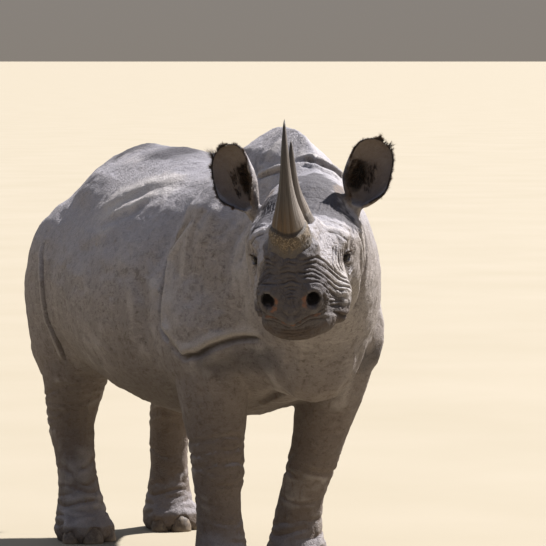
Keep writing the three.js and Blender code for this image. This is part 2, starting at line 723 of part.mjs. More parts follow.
// Horns and eyes keep their own frames, and the head is cut clear of each of them.
const hollows = [];
function seat(name, make, matrix, material) {
  const mesh = place(headGroup, name, make(0), material);
  mesh.applyMatrix4(matrix);
  hollows.push(solidOf(make(GAP), headMatrix.clone().multiply(matrix)));
}
const hornSeats = [
  ["horn_front", FRONT_HORN],
  ["horn_rear", REAR_HORN],
];
for (const [name, horn] of hornSeats) {
  const matrix = seatMatrix(at(0, -horn.ahead, horn.base), [0, HORN_TILT, 0]);
  seat(name, (grow) => hornGeometry(horn, grow), matrix, hornFinish);
}
for (const side of BOTH_SIDES) {
  const matrix = seatMatrix(eyeCentre(side), [0, 0, 0]);
  const ball = (grow) => new THREE.SphereGeometry(EYE_RADIUS + grow, 12, 8);
  seat(`eye_${sideName(side)}`, ball, matrix, eyeFinish);
  hollows.push(lidSlit(side), solidOf(nostrilHollow(side), headMatrix));
}
hollows.push(solidOf(mouthGroove(), headMatrix));

const headFlesh = BOTH_SIDES.reduce(
  (solid, side) => solid.add(lidMound(side)),
  fleshed.intersect(aheadOfNeck),
);
const headCut = hollows.reduce((solid, hollow) => solid.subtract(hollow), headFlesh);
place(headGroup, "head", geometryOf(headCut, headMatrix), hide);

const neckSolid = fleshed.intersect(behindHead).intersect(aheadOfChest);
place(animal, "neck", geometryOf(neckSolid), hide);

let torso = trunk.intersect(behindNeck);
for (const leg of LEGS) {
  const limb = solidOf(legSkin(leg));
  const nailsOf = nails(leg, 0);
  const limbCut = nails(leg, GAP).reduce(
    (solid, nail) => solid.subtract(nail.solid),
    limb.add(torso).intersect(solidOf(legBlock(leg, GAP))),
  );
  place(animal, leg.name, geometryOf(limbCut), hide);
  for (const { name, solid } of nailsOf) {
    const nail = solid.intersect(aboveGround());
    place(animal, leg.name.replace("leg", "nail") + `_${name}`, geometryOf(nail), nailFinish);
  }
  torso = torso.add(limb).subtract(solidOf(legBlock(leg, 0)));
}
place(animal, "torso", geometryOf(torso), hide);

for (const { side, out, ahead, below, lean, open } of EAR_SEATS) {
  const turns = [-14, side * lean, side * open];
  const matrix = headMatrix.clone().multiply(seatMatrix(at(side * out, -ahead, -below), turns));
  const ear = solidOf(earGeometry(), matrix)
    .add(solidOf(earStalk(), matrix))
    .subtract(fleshedGrown);
  place(animal, `ear_${sideName(side)}`, geometryOf(ear), hide);
}

const tuft = tailLocks().map((lock) => solidOf(lock));
const tail = tuft.reduce((solid, lock) => solid.add(lock), solidOf(tailSkin()));
place(animal, "tail", geometryOf(tail.subtract(trunkGrown)), hide);

// The frame's origin is on the ground, below the middle of the animal's box.
const box = new THREE.Box3().setFromObject(animal, true);
const middle = box.getCenter(at(0, 0, 0));
animal.position.set(-middle.x, -middle.y, -box.min.z);

export default animal;
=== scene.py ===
# %% [markdown]
# # A black rhinoceros, life size
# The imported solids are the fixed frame. Blender adds what the solids leave plain: one skin over all
# the flesh, with its folds and wrinkles, grained horns, wet eyes, worn nails and stiff hair.
# Lengths are metres, +Z is up, and the animal faces -Y with its left side towards +X.

# %% Load the solids
import math

import bmesh
import bpy
import numpy as np
from mathutils import Matrix, Vector
from mathutils.bvhtree import BVHTree


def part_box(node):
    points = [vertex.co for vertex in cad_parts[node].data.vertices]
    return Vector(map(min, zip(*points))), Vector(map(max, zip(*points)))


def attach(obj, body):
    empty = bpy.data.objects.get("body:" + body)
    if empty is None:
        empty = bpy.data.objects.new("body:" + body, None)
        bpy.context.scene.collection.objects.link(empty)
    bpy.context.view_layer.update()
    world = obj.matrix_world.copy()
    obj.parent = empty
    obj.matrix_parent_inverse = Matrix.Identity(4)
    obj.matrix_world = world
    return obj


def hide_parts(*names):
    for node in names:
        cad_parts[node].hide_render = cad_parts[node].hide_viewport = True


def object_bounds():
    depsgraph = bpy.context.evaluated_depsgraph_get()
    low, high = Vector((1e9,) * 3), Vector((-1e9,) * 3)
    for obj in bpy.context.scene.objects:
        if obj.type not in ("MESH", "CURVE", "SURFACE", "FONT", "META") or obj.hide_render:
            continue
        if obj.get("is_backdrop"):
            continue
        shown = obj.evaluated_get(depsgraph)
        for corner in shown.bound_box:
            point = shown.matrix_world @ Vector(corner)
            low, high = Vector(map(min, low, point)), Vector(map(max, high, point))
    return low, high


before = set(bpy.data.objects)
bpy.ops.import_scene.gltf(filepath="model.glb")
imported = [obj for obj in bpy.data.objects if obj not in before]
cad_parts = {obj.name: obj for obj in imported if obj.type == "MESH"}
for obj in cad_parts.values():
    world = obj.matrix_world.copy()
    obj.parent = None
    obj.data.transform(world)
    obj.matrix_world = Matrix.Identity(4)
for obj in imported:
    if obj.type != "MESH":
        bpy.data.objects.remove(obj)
cad_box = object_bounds()
MM = 0.001
SIDES = (1, -1)  # the animal's left, then its right
print("solids:", len(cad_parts), "box", [round(v, 3) for c in cad_box for v in c])

# %% [markdown]
# ## Where things are
# Two places carry everything else. The withers are the top of the shoulders, where the spine starts,
# and the poll is the top of the skull. The head's own frame starts at the poll: "out" is to a side,
# "ahead" towards the muzzle and "below" down from the poll. The eye solids say where both are.

# %% The frames of the head and of the body
def turned(axis, degrees):
    """The matrix that turns points round an axis."""
    return np.array(Matrix.Rotation(math.radians(degrees), 3, axis))


HEAD_TURN, HEAD_PITCH, HEAD_ROLL = 30.5, 22, 2.5
HEAD_AXES = turned("Z", -HEAD_TURN) @ turned("X", HEAD_PITCH) @ turned("Y", -HEAD_ROLL)
EYE_RADIUS = 20 * MM
EYE = np.array([134, 272, 148])
POLL_FROM_WITHERS = np.array([-221, -657, 1418]) * MM

eye_low, eye_high = (np.array(corner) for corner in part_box("eye_left"))
POLL = (eye_low + eye_high) / 2 - HEAD_AXES @ (EYE * (1, -1, -1) * MM)
WITHERS = POLL - POLL_FROM_WITHERS


def in_head(points):
    """Points in millimetres out, ahead and below of the poll."""
    local = (points - POLL) @ HEAD_AXES
    return local[:, 0] / MM, -local[:, 1] / MM, -local[:, 2] / MM


def from_head(rows):
    """Rows of (out, ahead, below) in millimetres, as points."""
    rows = np.array(rows, float) * (1, -1, -1) * MM
    return rows @ HEAD_AXES.T + POLL


def on_side(rows, side):
    """Rows of the left side of the head, as points on the given side of it."""
    return from_head(np.array(rows, float) * (side, 1, 1))


def from_eyes(out, ahead, below):
    """How far places on the head are from the nearer eye, in millimetres."""
    return np.hypot(np.hypot(np.abs(out) - EYE[0], ahead - EYE[1]), below - EYE[2])


def from_body(rows, side=1):
    """Rows of (out, back, height) in millimetres from under the withers, as points."""
    return np.array(rows, float) * (side, 1, 1) * MM + WITHERS * (1, 1, 0)


print("poll at", POLL.round(4), "withers over", WITHERS.round(4))

# %% [markdown]
# ## The camera
# A long lens, at about a standing person's height, looks a little down at the animal from 12 m.
# The near-level view keeps the back and the head at their true sizes against each other.

# %% The camera
CAMERA_TURN, CAMERA_FALL = -25, 3.5025
CAMERA_AWAY, CAMERA_ASIDE, CAMERA_HEIGHT = 12, 0.0241, 1.81
LENS_MM, SENSOR_MM = 229.45, 36
turn = math.radians(CAMERA_TURN)
back = np.array([math.sin(turn), -math.cos(turn), 0]) * CAMERA_AWAY
aside = np.array([math.cos(turn), math.sin(turn), 0]) * CAMERA_ASIDE
camera = bpy.data.objects.new("camera", bpy.data.cameras.new("camera"))
camera.location = WITHERS * (1, 1, 0) + back - aside + np.array([0, 0, CAMERA_HEIGHT])
camera.rotation_euler = (math.radians(90 - CAMERA_FALL), 0, math.radians(CAMERA_TURN))
camera.data.lens = LENS_MM
camera.data.sensor_width = SENSOR_MM
camera.data.clip_end = 6000  # past the far edge of the floor
bpy.context.scene.collection.objects.link(camera)
bpy.context.scene.camera = camera
print("camera at", [round(v, 3) for v in camera.location])

# %% [markdown]
# ## Small tools
# Skin is shaped in numpy, because a displacement that is written as a rule of place is easier to
# read and to change than a sculpt. `noise` gives smooth random bumps that are the same each run.

# %% Meshes to arrays and back
def mesh_object(name, points, faces):
    """A new smooth-shaded object in the scene, from points and faces."""
    mesh = bpy.data.meshes.new(name)
    mesh.from_pydata(np.asarray(points).tolist(), [], [list(map(int, f)) for f in faces])
    mesh.validate()
    mesh.polygons.foreach_set("use_smooth", [True] * len(mesh.polygons))
    piece = bpy.data.objects.new(name, mesh)
    bpy.context.scene.collection.objects.link(piece)
    return piece


def read(items, key, width, kind=np.float32):
    """A row of values from each item of a mesh."""
    flat = np.empty(len(items) * width, kind)
    items.foreach_get(key, flat)
    return flat.reshape(-1, width)


def points_of(mesh):
    return read(mesh.vertices, "co", 3).astype(float)


def normals_of(mesh):
    return read(mesh.vertices, "normal", 3).astype(float)


def edges_of(mesh):
    return read(mesh.edges, "vertices", 2, np.int32)


def move_points(mesh, points):
    """Puts all the points of a mesh in new places."""
    mesh.vertices.foreach_set("co", np.ascontiguousarray(points, np.float32).ravel())
    mesh.update()


def write(piece, name, values):
    """Gives each point of a piece a named number, or a named row of three."""
    values = np.asarray(values, np.float32)
    kind, key = ("FLOAT", "value") if values.ndim == 1 else ("FLOAT_VECTOR", "vector")
    piece.data.attributes.new(name, kind, "POINT").data.foreach_set(key, values.ravel())


head_points = points_of(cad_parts["head"].data)
print("the head's solid:", len(head_points), "points, highest at", round(float(head_points[:, 2].max()), 3))

# %% Faces between rings, balls, and plain meshes
def ring_faces(rings, loop):
    """The quads between rings of points."""
    quads = []
    for i in range(rings - 1):
        for j in range(loop):
            k = (j + 1) % loop
            quads.append([i * loop + j, i * loop + k, (i + 1) * loop + k, (i + 1) * loop + j])
    return quads


def ball(segments, rings):
    """The points and faces of a sphere of radius 1."""
    work = bmesh.new()
    bmesh.ops.create_uvsphere(work, u_segments=segments, v_segments=rings, radius=1)
    points = np.array([v.co for v in work.verts])
    faces = [[v.index for v in f.verts] for f in work.faces]
    work.free()
    return points, faces


def settle(piece):
    """Turns a piece with modifiers into a plain mesh."""
    graph = bpy.context.evaluated_depsgraph_get()
    mesh = bpy.data.meshes.new_from_object(piece.evaluated_get(graph))
    piece.modifiers.clear()
    old, piece.data = piece.data, mesh
    bpy.data.meshes.remove(old)
    return mesh


print("a small ball has", len(ball(8, 4)[1]), "faces")

# %% Smooth steps and repeatable noise
def ramp(value, low, high):
    """0 below low, 1 above high and a smooth rise between. It falls if low is the greater."""
    share = np.clip((value - low) / (high - low), 0, 1)
    return share * share * (3 - 2 * share)


def bell(value, middle, width):
    """1 at the middle, falling softly to both sides."""
    return np.exp(-(((value - middle) / width) ** 2))


def unit(vector):
    """One vector, made one long."""
    return np.asarray(vector, float) / np.linalg.norm(vector)


def units(rows):
    """Rows of vectors, each made one long."""
    return rows / np.linalg.norm(rows, axis=-1, keepdims=True)


def noise(points, size, seed=0):
    """Smooth random values from -1 to 1, with bumps of about the given size.

    The large odd numbers scatter the cells of the net, so that no order shows."""
    place = points / size + seed * 17.31
    cell = np.floor(place).astype(np.int64)
    share = place - cell
    share = share * share * share * (share * (share * 6 - 15) + 10)
    total = np.zeros(len(points))
    for corner in range(8):
        step = np.array([corner & 1, corner >> 1 & 1, corner >> 2 & 1])
        x, y, z = (cell + step).T
        mixed = (x * 73856093 ^ y * 19349663 ^ z * 83492791 ^ seed * 2654435761) & 0xFFFFFFFF
        mixed = ((mixed ^ mixed >> 15) * 2246822519) & 0xFFFFFFFF
        mixed = ((mixed ^ mixed >> 13) * 3266489917) & 0xFFFFFFFF
        value = ((mixed ^ mixed >> 16) & 0xFFFF) / 32767.5 - 1
        total += value * np.prod(np.where(step, share, 1 - share), axis=1)
    return total


def wrinkles(points, size, seed=0):
    """Thin wandering creases: 1 in a crease and 0 on the swells between them."""
    return np.exp(-np.abs(noise(points, size, seed)) * 9)


print("noise along a line:", noise(np.linspace((0, 0, 0), (1, 1, 1), 5), 0.3).round(2))

# %% [markdown]
# ## One skin from many solids
# The flesh solids are cut from each other with hair-thin gaps. A copy of each is merged and swollen
# by half a millimetre, so that they overlap, and the voxel remesh wraps them in one closed body of
# even quads. The tail is built again as a finer tube, because its solid carries hair locks.

# %% The tail's fleshy part
TAIL_LINE = [(0, 1480, 1300), (0, 1550, 1275), (0, 1640, 1245), (0, 1695, 1212), (0, 1735, 1150),
             (0, 1758, 1080), (0, 1770, 990), (0, 1774, 900), (0, 1774, 800), (0, 1772, 700),
             (0, 1772, 632)]


def smooth_line(rows, count):
    """A Catmull-Rom curve through the rows, as evenly numbered points."""
    rows = np.array(rows, float)
    padded = np.vstack([2 * rows[0] - rows[1], rows, 2 * rows[-1] - rows[-2]])
    place = np.linspace(0, len(rows) - 1, count)
    index = np.minimum(place.astype(int), len(rows) - 2)
    t = (place - index)[:, None]
    a, b, c, d = (padded[index + k] for k in range(4))
    bent = (2 * a - 5 * b + 4 * c - d) * t**2 + (3 * b - a - 3 * c + d) * t**3
    return 0.5 * (2 * b + (c - a) * t + bent)


def tube(line, radii, sides=16, side=(1.0, 0, 0)):
    """Rings round a line that bends in the plane square to its side, closed at both ends."""
    line = np.asarray(line)
    along = units(np.gradient(line, axis=0))
    side = np.tile(np.asarray(side, float), (len(line), 1))
    up = np.cross(along, side)
    turn = np.linspace(0, 2 * math.pi, sides, endpoint=False)
    ring = side[:, None] * np.cos(turn)[:, None] + up[:, None] * np.sin(turn)[:, None]
    points = (line[:, None] + ring * np.asarray(radii)[:, None, None]).reshape(-1, 3)
    faces = ring_faces(len(line), sides)
    faces.append(list(range(sides))[::-1])
    faces.append([(len(line) - 1) * sides + j for j in range(sides)])
    return points, faces


TAIL_RINGS, TAIL_ROOT, TAIL_TAPER = 60, 50, 38
tail_line = from_body(smooth_line(TAIL_LINE, TAIL_RINGS))
tail_radii = (TAIL_ROOT - TAIL_TAPER * np.linspace(0, 1, TAIL_RINGS) ** 0.75) * MM
print("tail", round(float(np.linalg.norm(np.diff(tail_line, axis=0), axis=1).sum()), 3), "m long")

# %% The ears, finer than their solids
# A leaf's rows are (place from root to tip, width, how far it rolls round in degrees), and a seat's
# are (side, out, ahead, below, how far it leans out and how far it opens outwards).
EAR_LENGTH, EAR_HALF_WIDTH, EAR_WALL, EAR_TILT = 225, 76, 9, -14
EAR_LEAF = [(0, 0.38, 150), (0.14, 0.7, 128), (0.34, 1, 102), (0.6, 1.03, 80), (0.8, 0.94, 64),
            (0.93, 0.67, 54), (1, 0.24, 46)]
EAR_SEATS = [(1, 158, -5, 90, 26, 8), (-1, 174, -5, 90, 30, 14)]


def read_table(rows, places):
    """Reads a table of (place, value, ...) rows at other places, by a smooth curve through them."""
    fine = smooth_line(rows, 400)
    return [np.interp(places, fine[:, 0], fine[:, k]) for k in range(1, fine.shape[1])]


def ear_matrix(seat):
    """Which way an ear is turned, and where its root is."""
    side, out, ahead, below, lean, open_out = seat
    turn = turned("Z", side * open_out) @ turned("Y", side * lean) @ turned("X", EAR_TILT)
    return HEAD_AXES @ turn, from_head([(side * out, ahead, below)])[0]


def ear_leaf(seat, share, across, inset):
    """Points on an ear: share runs from root to tip, across from edge to edge, inset into the wall."""
    share, across, inset = np.broadcast_arrays(share, across, inset)
    width, roll = read_table(EAR_LEAF, share.ravel())
    width, half = width.reshape(share.shape), np.radians(roll).reshape(share.shape)
    radius = EAR_HALF_WIDTH * width / np.sin(np.minimum(half, math.pi / 2))
    angle = across * half
    run = radius - inset
    local = np.stack([np.sin(angle) * run, np.cos(angle) * run - radius * 0.6, share * EAR_LENGTH], -1)
    turn, place = ear_matrix(seat)
    return local * MM @ turn.T + place


def ear_shell(seat, rings=30, sides=34):
    """The leaf of an ear, as a closed shell with an outer and an inner wall."""
    share = 1 - (1 - np.linspace(0, 1, rings)) ** 1.25
    across = np.linspace(-1, 1, sides)
    outer = ear_leaf(seat, share[:, None], across[None], 0)
    inner = ear_leaf(seat, share[:, None], across[None, ::-1], EAR_WALL)
    ring = np.concatenate([outer, inner], axis=1)
    loop = ring.shape[1]
    faces = ring_faces(rings, loop)
    for start in (0, (rings - 1) * loop):
        for j in range(sides - 1):
            faces.append([start + j, start + j + 1, start + loop - 2 - j, start + loop - 1 - j])
    return ring.reshape(-1, 3), faces


def ear_stalk(seat):
    """The rolled root of an ear, from inside the skull to the leaf."""
    turn, place = ear_matrix(seat)
    line = smooth_line([(0, 8, -95), (0, 2, -45), (0, -16, 6)], 12) * MM @ turn.T + place
    radii = np.interp(np.linspace(0, 1, 12), [0, 0.5, 1], [27, 30, 24]) * MM
    return tube(line, radii, side=turn[:, 0])


ears = [make(seat) for seat in EAR_SEATS for make in (ear_shell, ear_stalk)]
print("ears:", [len(faces) for points, faces in ears], "faces")

# %% Merge, swell and wrap the flesh
FLESH = ["torso", "neck", "head", "leg_front_left", "leg_front_right", "leg_hind_left",
         "leg_hind_right"]
SWELL = 0.5 * MM
VOXEL = 5.5 * MM


def merged_copy(node):
    """A node's points and triangles, with its doubles merged and pushed out along their normals."""
    work = bmesh.new()
    work.from_mesh(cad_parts[node].data)
    bmesh.ops.remove_doubles(work, verts=work.verts, dist=1e-5)
    work.normal_update()
    points = np.array([v.co + v.normal * SWELL for v in work.verts])
    faces = [[v.index for v in f.verts] for f in work.faces]
    work.free()
    return points, faces


def joined(pieces):
    """Several pairs of points and faces, as one pair."""
    points, faces, start = [], [], 0
    for some_points, some_faces in pieces:
        points.append(some_points)
        faces += [[i + start for i in face] for face in some_faces]
        start += len(some_points)
    return np.vstack(points), faces


def largest_body(mesh):
    """Removes every loose scrap but the largest body."""
    edges = edges_of(mesh)
    label = np.arange(len(mesh.vertices))
    while True:
        lowest = np.minimum(label[edges[:, 0]], label[edges[:, 1]])
        before = label.copy()
        np.minimum.at(label, edges[:, 0], lowest)
        np.minimum.at(label, edges[:, 1], lowest)
        label = label[label]
        if np.array_equal(label, before):
            break
    names, counts = np.unique(label, return_counts=True)
    scraps = np.nonzero(label != names[counts.argmax()])[0]
    if len(scraps):
        work = bmesh.new()
        work.from_mesh(mesh)
        work.verts.ensure_lookup_table()
        bmesh.ops.delete(work, geom=[work.verts[i] for i in scraps], context="VERTS")
        work.to_mesh(mesh)
        work.free()
    return len(scraps)


bodies = [merged_copy(node) for node in FLESH] + ears + [tube(tail_line, tail_radii)]
skin = mesh_object("skin", *joined(bodies))
wrap = skin.modifiers.new("wrap", "REMESH")
wrap.mode = "VOXEL"
wrap.voxel_size = VOXEL
wrap.use_smooth_shade = True
settle(skin)
print("wrapped:", len(skin.data.vertices), "points, scraps", largest_body(skin.data))

# %% [markdown]
# ## Take the facets off
# The solids are made of flat triangles, and the skin of soft curves. Taubin smoothing moves each
# point towards its neighbours and then a little back, so facets go and the bulk stays. The head,
# ears and feet are smoothed less, because their edges are meant, and the broad trunk more.

# %% Smooth the skin by region
PULL, GIVE, TRUNK_GIVE = 0.6, 0.62, 0.606
ROUNDS_ALL, ROUNDS_TRUNK, ROUNDS_FACE, ROUNDS_LIPS = 34, 60, 2, 8


def smooth(points, edges, rounds, weight, give=GIVE):
    """Pulls each point towards its neighbours, then gives back a little more than was pulled.
    With a give of 0 it only pulls."""
    count = len(points)
    starts, ends = edges[:, 0], edges[:, 1]
    degree = np.bincount(starts, minlength=count) + np.bincount(ends, minlength=count)
    for turn in range(rounds * 2):
        pull = PULL if turn % 2 == 0 else -give
        for axis in range(3):
            value = points[:, axis]
            sums = np.bincount(starts, value[ends], count) + np.bincount(ends, value[starts], count)
            points[:, axis] = value + (sums / degree - value) * pull * weight
    return points


def near_ears(points):
    """1 on the ears and 0 away from them."""
    inside = np.zeros(len(points))
    for seat in EAR_SEATS:
        turn, place = ear_matrix(seat)
        x, y, z = ((points - place) @ turn / MM).T
        here = ramp(np.hypot(x, y), 130, 105) * ramp(z, -10, 20) * ramp(z, 270, 245)
        inside = np.maximum(inside, here)
    return inside


points = points_of(skin.data)
out, ahead, below = in_head(points)
on_head = ramp(ahead, 40, 160) * ramp(below, 480, 400)
on_ear = near_ears(points)
on_foot = ramp(points[:, 2], 0.14, 0.08)
weight = 1 - np.maximum.reduce([on_head * 0.75, on_ear * 0.9, on_foot * 0.8])
points = smooth(points, edges_of(skin.data), ROUNDS_ALL, weight)
on_trunk = (1 - ramp(ahead, -60, 30)) * (1 - on_ear) * ramp(points[:, 2], 0.5, 0.62)
points = smooth(points, edges_of(skin.data), ROUNDS_TRUNK, on_trunk, give=TRUNK_GIVE)
move_points(skin.data, points)
print("smoothed", round(float(weight.mean()), 2))

# %% A finer net on the face
def finer(mesh, chosen):
    """Splits each edge of the chosen faces once."""
    work = bmesh.new()
    work.from_mesh(mesh)
    work.edges.ensure_lookup_table()
    ends = edges_of(mesh)
    both = np.nonzero(chosen[ends[:, 0]] & chosen[ends[:, 1]])[0]
    bmesh.ops.subdivide_edges(work, edges=[work.edges[i] for i in both], cuts=1, use_grid_fill=True)
    work.to_mesh(mesh)
    work.free()
    mesh.update()


muzzle = (ahead > 330) & (below < 320) & (below > -60)
finer(skin.data, muzzle | (from_eyes(out, ahead, below) < 95))
points = points_of(skin.data)
out, ahead, below = in_head(points)
on_muzzle = np.maximum(ramp(ahead, 330, 360) * ramp(below, 320, 290),
                       ramp(from_eyes(out, ahead, below), 95, 85))
points = smooth(points, edges_of(skin.data), ROUNDS_FACE, on_muzzle)
on_ear = near_ears(points)
move_points(skin.data, points)
print("finer face:", len(points), "points", int(on_muzzle.sum()), "of them fine")

# %% [markdown]
# ## Folds
# Hide as thick as this can't stretch, so it lies in folds wherever the animal bends: round the
# muzzle and the eyes, behind the jaw, over the shoulder, at the flank and round the legs. Each fold
# is a line that is laid on the skin. Points beside it are pressed in, and the skin next to it swells.
# A line is quick to move and to space, and the depth and the shade of a crease come from one value.

# %% Points beside a line
ground = BVHTree.FromObject(skin, bpy.context.evaluated_depsgraph_get())
normals = normals_of(skin.data)
pressed = np.zeros(len(points))
swollen = np.zeros(len(points))
# How much shade is painted into each crease, from 0 to 1.
crease = np.zeros(len(points))
random = np.random.default_rng(11)


def laid(rows, count=40):
    """A smooth line through some points, moved onto the skin."""
    return np.array([ground.find_nearest(Vector(p))[0] for p in smooth_line(rows, count)])


def beside(line, reach):
    """The skin points within reach of a line, how far off they are, which way and how far along."""
    low, high = line.min(axis=0) - reach, line.max(axis=0) + reach
    near = np.nonzero(np.all((points > low) & (points < high), axis=1))[0]
    chosen = points[near]
    gap, place, away = np.full(len(near), 9.0), np.zeros(len(near)), np.zeros((len(near), 3))
    for i, (start, end) in enumerate(zip(line[:-1], line[1:])):
        along = end - start
        share = np.clip((chosen - start) @ along / max(along @ along, 1e-12), 0, 1)
        offset = chosen - start - share[:, None] * along
        far = np.linalg.norm(offset, axis=1)
        closer = far < gap
        gap[closer], away[closer] = far[closer], offset[closer]
        place[closer] = (i + share[closer]) / (len(line) - 1)
    return near, gap, away, place


def at_least(values, near, new):
    """Raises the chosen values to new ones, where those are greater."""
    values[near] = np.maximum(values[near], new)


def fold(rows, width, depth, swell=0.0, towards=None, fade=(0.2, 0.2), shade=1.0):
    """Presses in a crease and paints shade into it, with a swell beside it or, with towards, only on that
    side of it.
    """
    near, gap, away, place = beside(laid(rows), width * 5 * MM)
    gap = gap / MM
    strength = ramp(place, -0.01, fade[0]) * ramp(1 - place, -0.01, fade[1])
    press = np.exp(-((gap / width) ** 2)) * strength
    at_least(pressed, near, press * depth)
    # Painted shade in the crease, as strong as shade says.
    at_least(crease, near, press * shade)
    side = 1 if towards is None else ramp(away @ np.array(towards), -width * MM, width * MM)
    raised = swell * bell(gap, 2.3 * width, 1.5 * width) * strength * side
    at_least(swollen, near, raised)


def ridge(rows, reach, height, middle, width):
    """Swells the skin along a line, most at the middle distance from it."""
    near, gap, _, _ = beside(laid(rows), reach * MM)
    at_least(swollen, near, height * bell(gap / MM, middle, width))


def round_about(place, side, radius):
    """1 at a place on the head, falling softly to 0 round it."""
    far = np.linalg.norm(points - on_side([place], side)[0], axis=1) / MM
    return np.exp(-((far / radius) ** 2))


print("the skin before its folds:", len(points), "points")

# %% Folds that sweep round the muzzle
# Four guide lines on the left cheek, from the bridge of the nose round to the lips. A fold between
# two of them is blended from both.
MUZZLE_GUIDES = [
    [(47, 589, 9), (70, 545, 20), (88, 503, 48), (102, 480, 70), (120, 447, 118), (136, 412, 166),
     (153, 370, 215)],
    [(48, 612, 52), (72, 603, 57), (98, 599, 81), (105, 560, 112), (114, 510, 152), (128, 478, 190),
     (150, 440, 208)],
    [(100, 622, 118), (108, 605, 138), (114, 560, 165), (118, 530, 185), (124, 505, 198),
     (135, 488, 207), (149, 470, 214)],
    [(93, 619, 168), (98, 600, 180), (104, 575, 195), (112, 545, 208), (122, 520, 216),
     (135, 497, 224), (150, 470, 232)],
]
GUIDE_PLACES = [0, 0.35, 0.65, 1]
MUZZLE_FOLDS = 12


def guide(place):
    """A line between the guides, from the uppermost at 0 to the lowest at 1."""
    guides = np.array(MUZZLE_GUIDES, float)
    blended = [[np.interp(place, GUIDE_PLACES, guides[:, i, k]) for k in range(3)]
               for i in range(guides.shape[1])]
    return np.array(blended)


for side in SIDES:
    for i in range(MUZZLE_FOLDS):
        rows = guide(i / (MUZZLE_FOLDS - 1) + random.normal(0, 0.012))
        rows += random.normal(0, 1.6, rows.shape)
        inner_end = rows[0] * (random.uniform(-0.2, 0.8), 1, 1) + (0, 6, random.normal(0, 5))
        rows = np.vstack([inner_end, rows])
        fade = (random.uniform(0.1, 0.35), random.uniform(0.05, 0.3) + (0.2 if side < 0 else 0))
        fold(on_side(rows, side), random.uniform(3.4, 4.6), random.uniform(3.6, 5.6), 2.2, fade=fade)
        between = (i + random.uniform(0.35, 0.65)) / (MUZZLE_FOLDS - 1)
        rows = guide(between)[random.integers(0, 3):][:4]
        fold(on_side(rows, side), 2.8, random.uniform(1.6, 2.8), 0.8, fade=(0.3, 0.3))
print("muzzle folds, deepest", round(float(pressed.max()), 1), "mm")

# %% Creases before and below the eyes
CHEEK_GUIDES = [[(128, 354, 63), (123, 390, 88), (123, 417, 110), (130, 412, 144)],
                [(142, 341, 77), (138, 358, 107), (136, 365, 138), (143, 357, 174)]]
# Rings round the eye: (radius, from which angle, to which angle, depth).
EYE_ARCS = [(34, 5, 170, 3.2), (44, 20, 150, 3.6), (54, 35, 140, 3.2), (66, 45, 130, 2.6),
            (33, 200, 345, 3.4), (44, 215, 330, 2.4)]


def eye_arc(radius, start, end, count=9):
    """Part of a ring round the left eye. 0 degrees is ahead of it and 90 below it."""
    turn = np.radians(np.linspace(start, end, count))
    return [EYE + (12, radius * math.cos(a), radius * 0.85 * math.sin(a)) for a in turn]


for side in SIDES:
    for share in (-0.45, 0, 0.4, 0.75, 1.1):
        first, last = np.array(CHEEK_GUIDES[0], float), np.array(CHEEK_GUIDES[1], float)
        rows = first + (last - first) * share + random.normal(0, 1.2, first.shape)
        fold(on_side(rows, side), 3.4, random.uniform(3.2, 5.0), 2)
    for radius, start, end, depth in EYE_ARCS:
        fold(on_side(eye_arc(radius, start, end), side), 3, depth * 1.5, 2.2, fade=(0.25, 0.25))
print("eye rings, deepest", round(float(pressed.max()), 1), "mm")

# %% The bridge of the nose, the nostrils and the lips
# Creases across the bridge: (how far below the poll, half length, depth).
BRIDGE = [(-4, 52, 2.4), (14, 48, 1.6), (30, 46, 3.0), (44, 40, 1.8), (56, 44, 3.2), (70, 34, 2.2),
          (84, 34, 3.0), (98, 28, 1.8), (112, 26, 2.4)]
for down, half, depth in BRIDGE:
    rows = [(u * half, 640, down + abs(u) * 7 + random.normal(0, 2)) for u in np.linspace(-1, 1, 7)]
    rows = np.array(rows[random.integers(0, 3):len(rows) - random.integers(0, 3)])
    fold(from_head(rows), 2.8, depth * 1.5, 1.6, fade=(0.3, 0.3), shade=0.8)
for out_line in (-30, -17, -3, 12, 26):
    rows = [(out_line + random.normal(0, 4), 645, b + out_line) for b in np.linspace(70, 165, 6)]
    fold(from_head(rows), 2.4, 2.4, 0.8, fade=(0.4, 0.4), shade=0.5)
for k in range(9):
    rows = [(-84 + k * 4, 575, 210 + k * 8), (0, 635, 220 + k * 8), (88 - k * 3, 575, 208 + k * 9)]
    rows = np.array(rows, float) + random.normal(0, 6, (3, 3))
    fold(from_head(rows), 2.8, random.uniform(2.0, 3.6), 1.4, fade=(0.3, 0.3), shade=0.7)
for out_line in range(-78, 90, 13):
    rows = [(out_line + random.normal(0, 4), 600, b) for b in np.linspace(212, 285, 5)]
    fold(from_head(rows), 2.6, random.uniform(1.2, 2.4), 1, fade=(0.35, 0.35), shade=0.5)

MOUTH = [(0, 664, 205), (25, 652, 193), (58, 644, 176), (91, 608, 184), (112, 560, 204),
         (130, 502, 237), (150, 424, 268)]
LIP_GROOVE = [(40, 656, 134), (23, 662, 156), (8, 668, 172)]
NOSTRIL_RIM = [(74 + 27 * math.cos(a), 640, 124 + 33 * math.sin(a)) for a in np.linspace(0, 2 * math.pi, 13)]
for side in SIDES:
    ridge(on_side(NOSTRIL_RIM, side), 30, 4.5, 3, 8)
    fold(on_side(MOUTH, side), 4, 5.5, 3.0, fade=(0.02, 0.1))
    fold(on_side(np.array(MOUTH[:5]) + (0, 0, 22), side), 3.5, 2.4, 1.2)
    swollen += 3 * round_about((112, 590, 150), side, 26)
    fold(on_side(LIP_GROOVE, side), 6, 5, 3, fade=(0.4, 0.3), shade=0.3)
swollen += 7 * round_about((0, 668, 178), 1, 15)
print("nose and lips, highest", round(float(swollen.max()), 1), "mm")

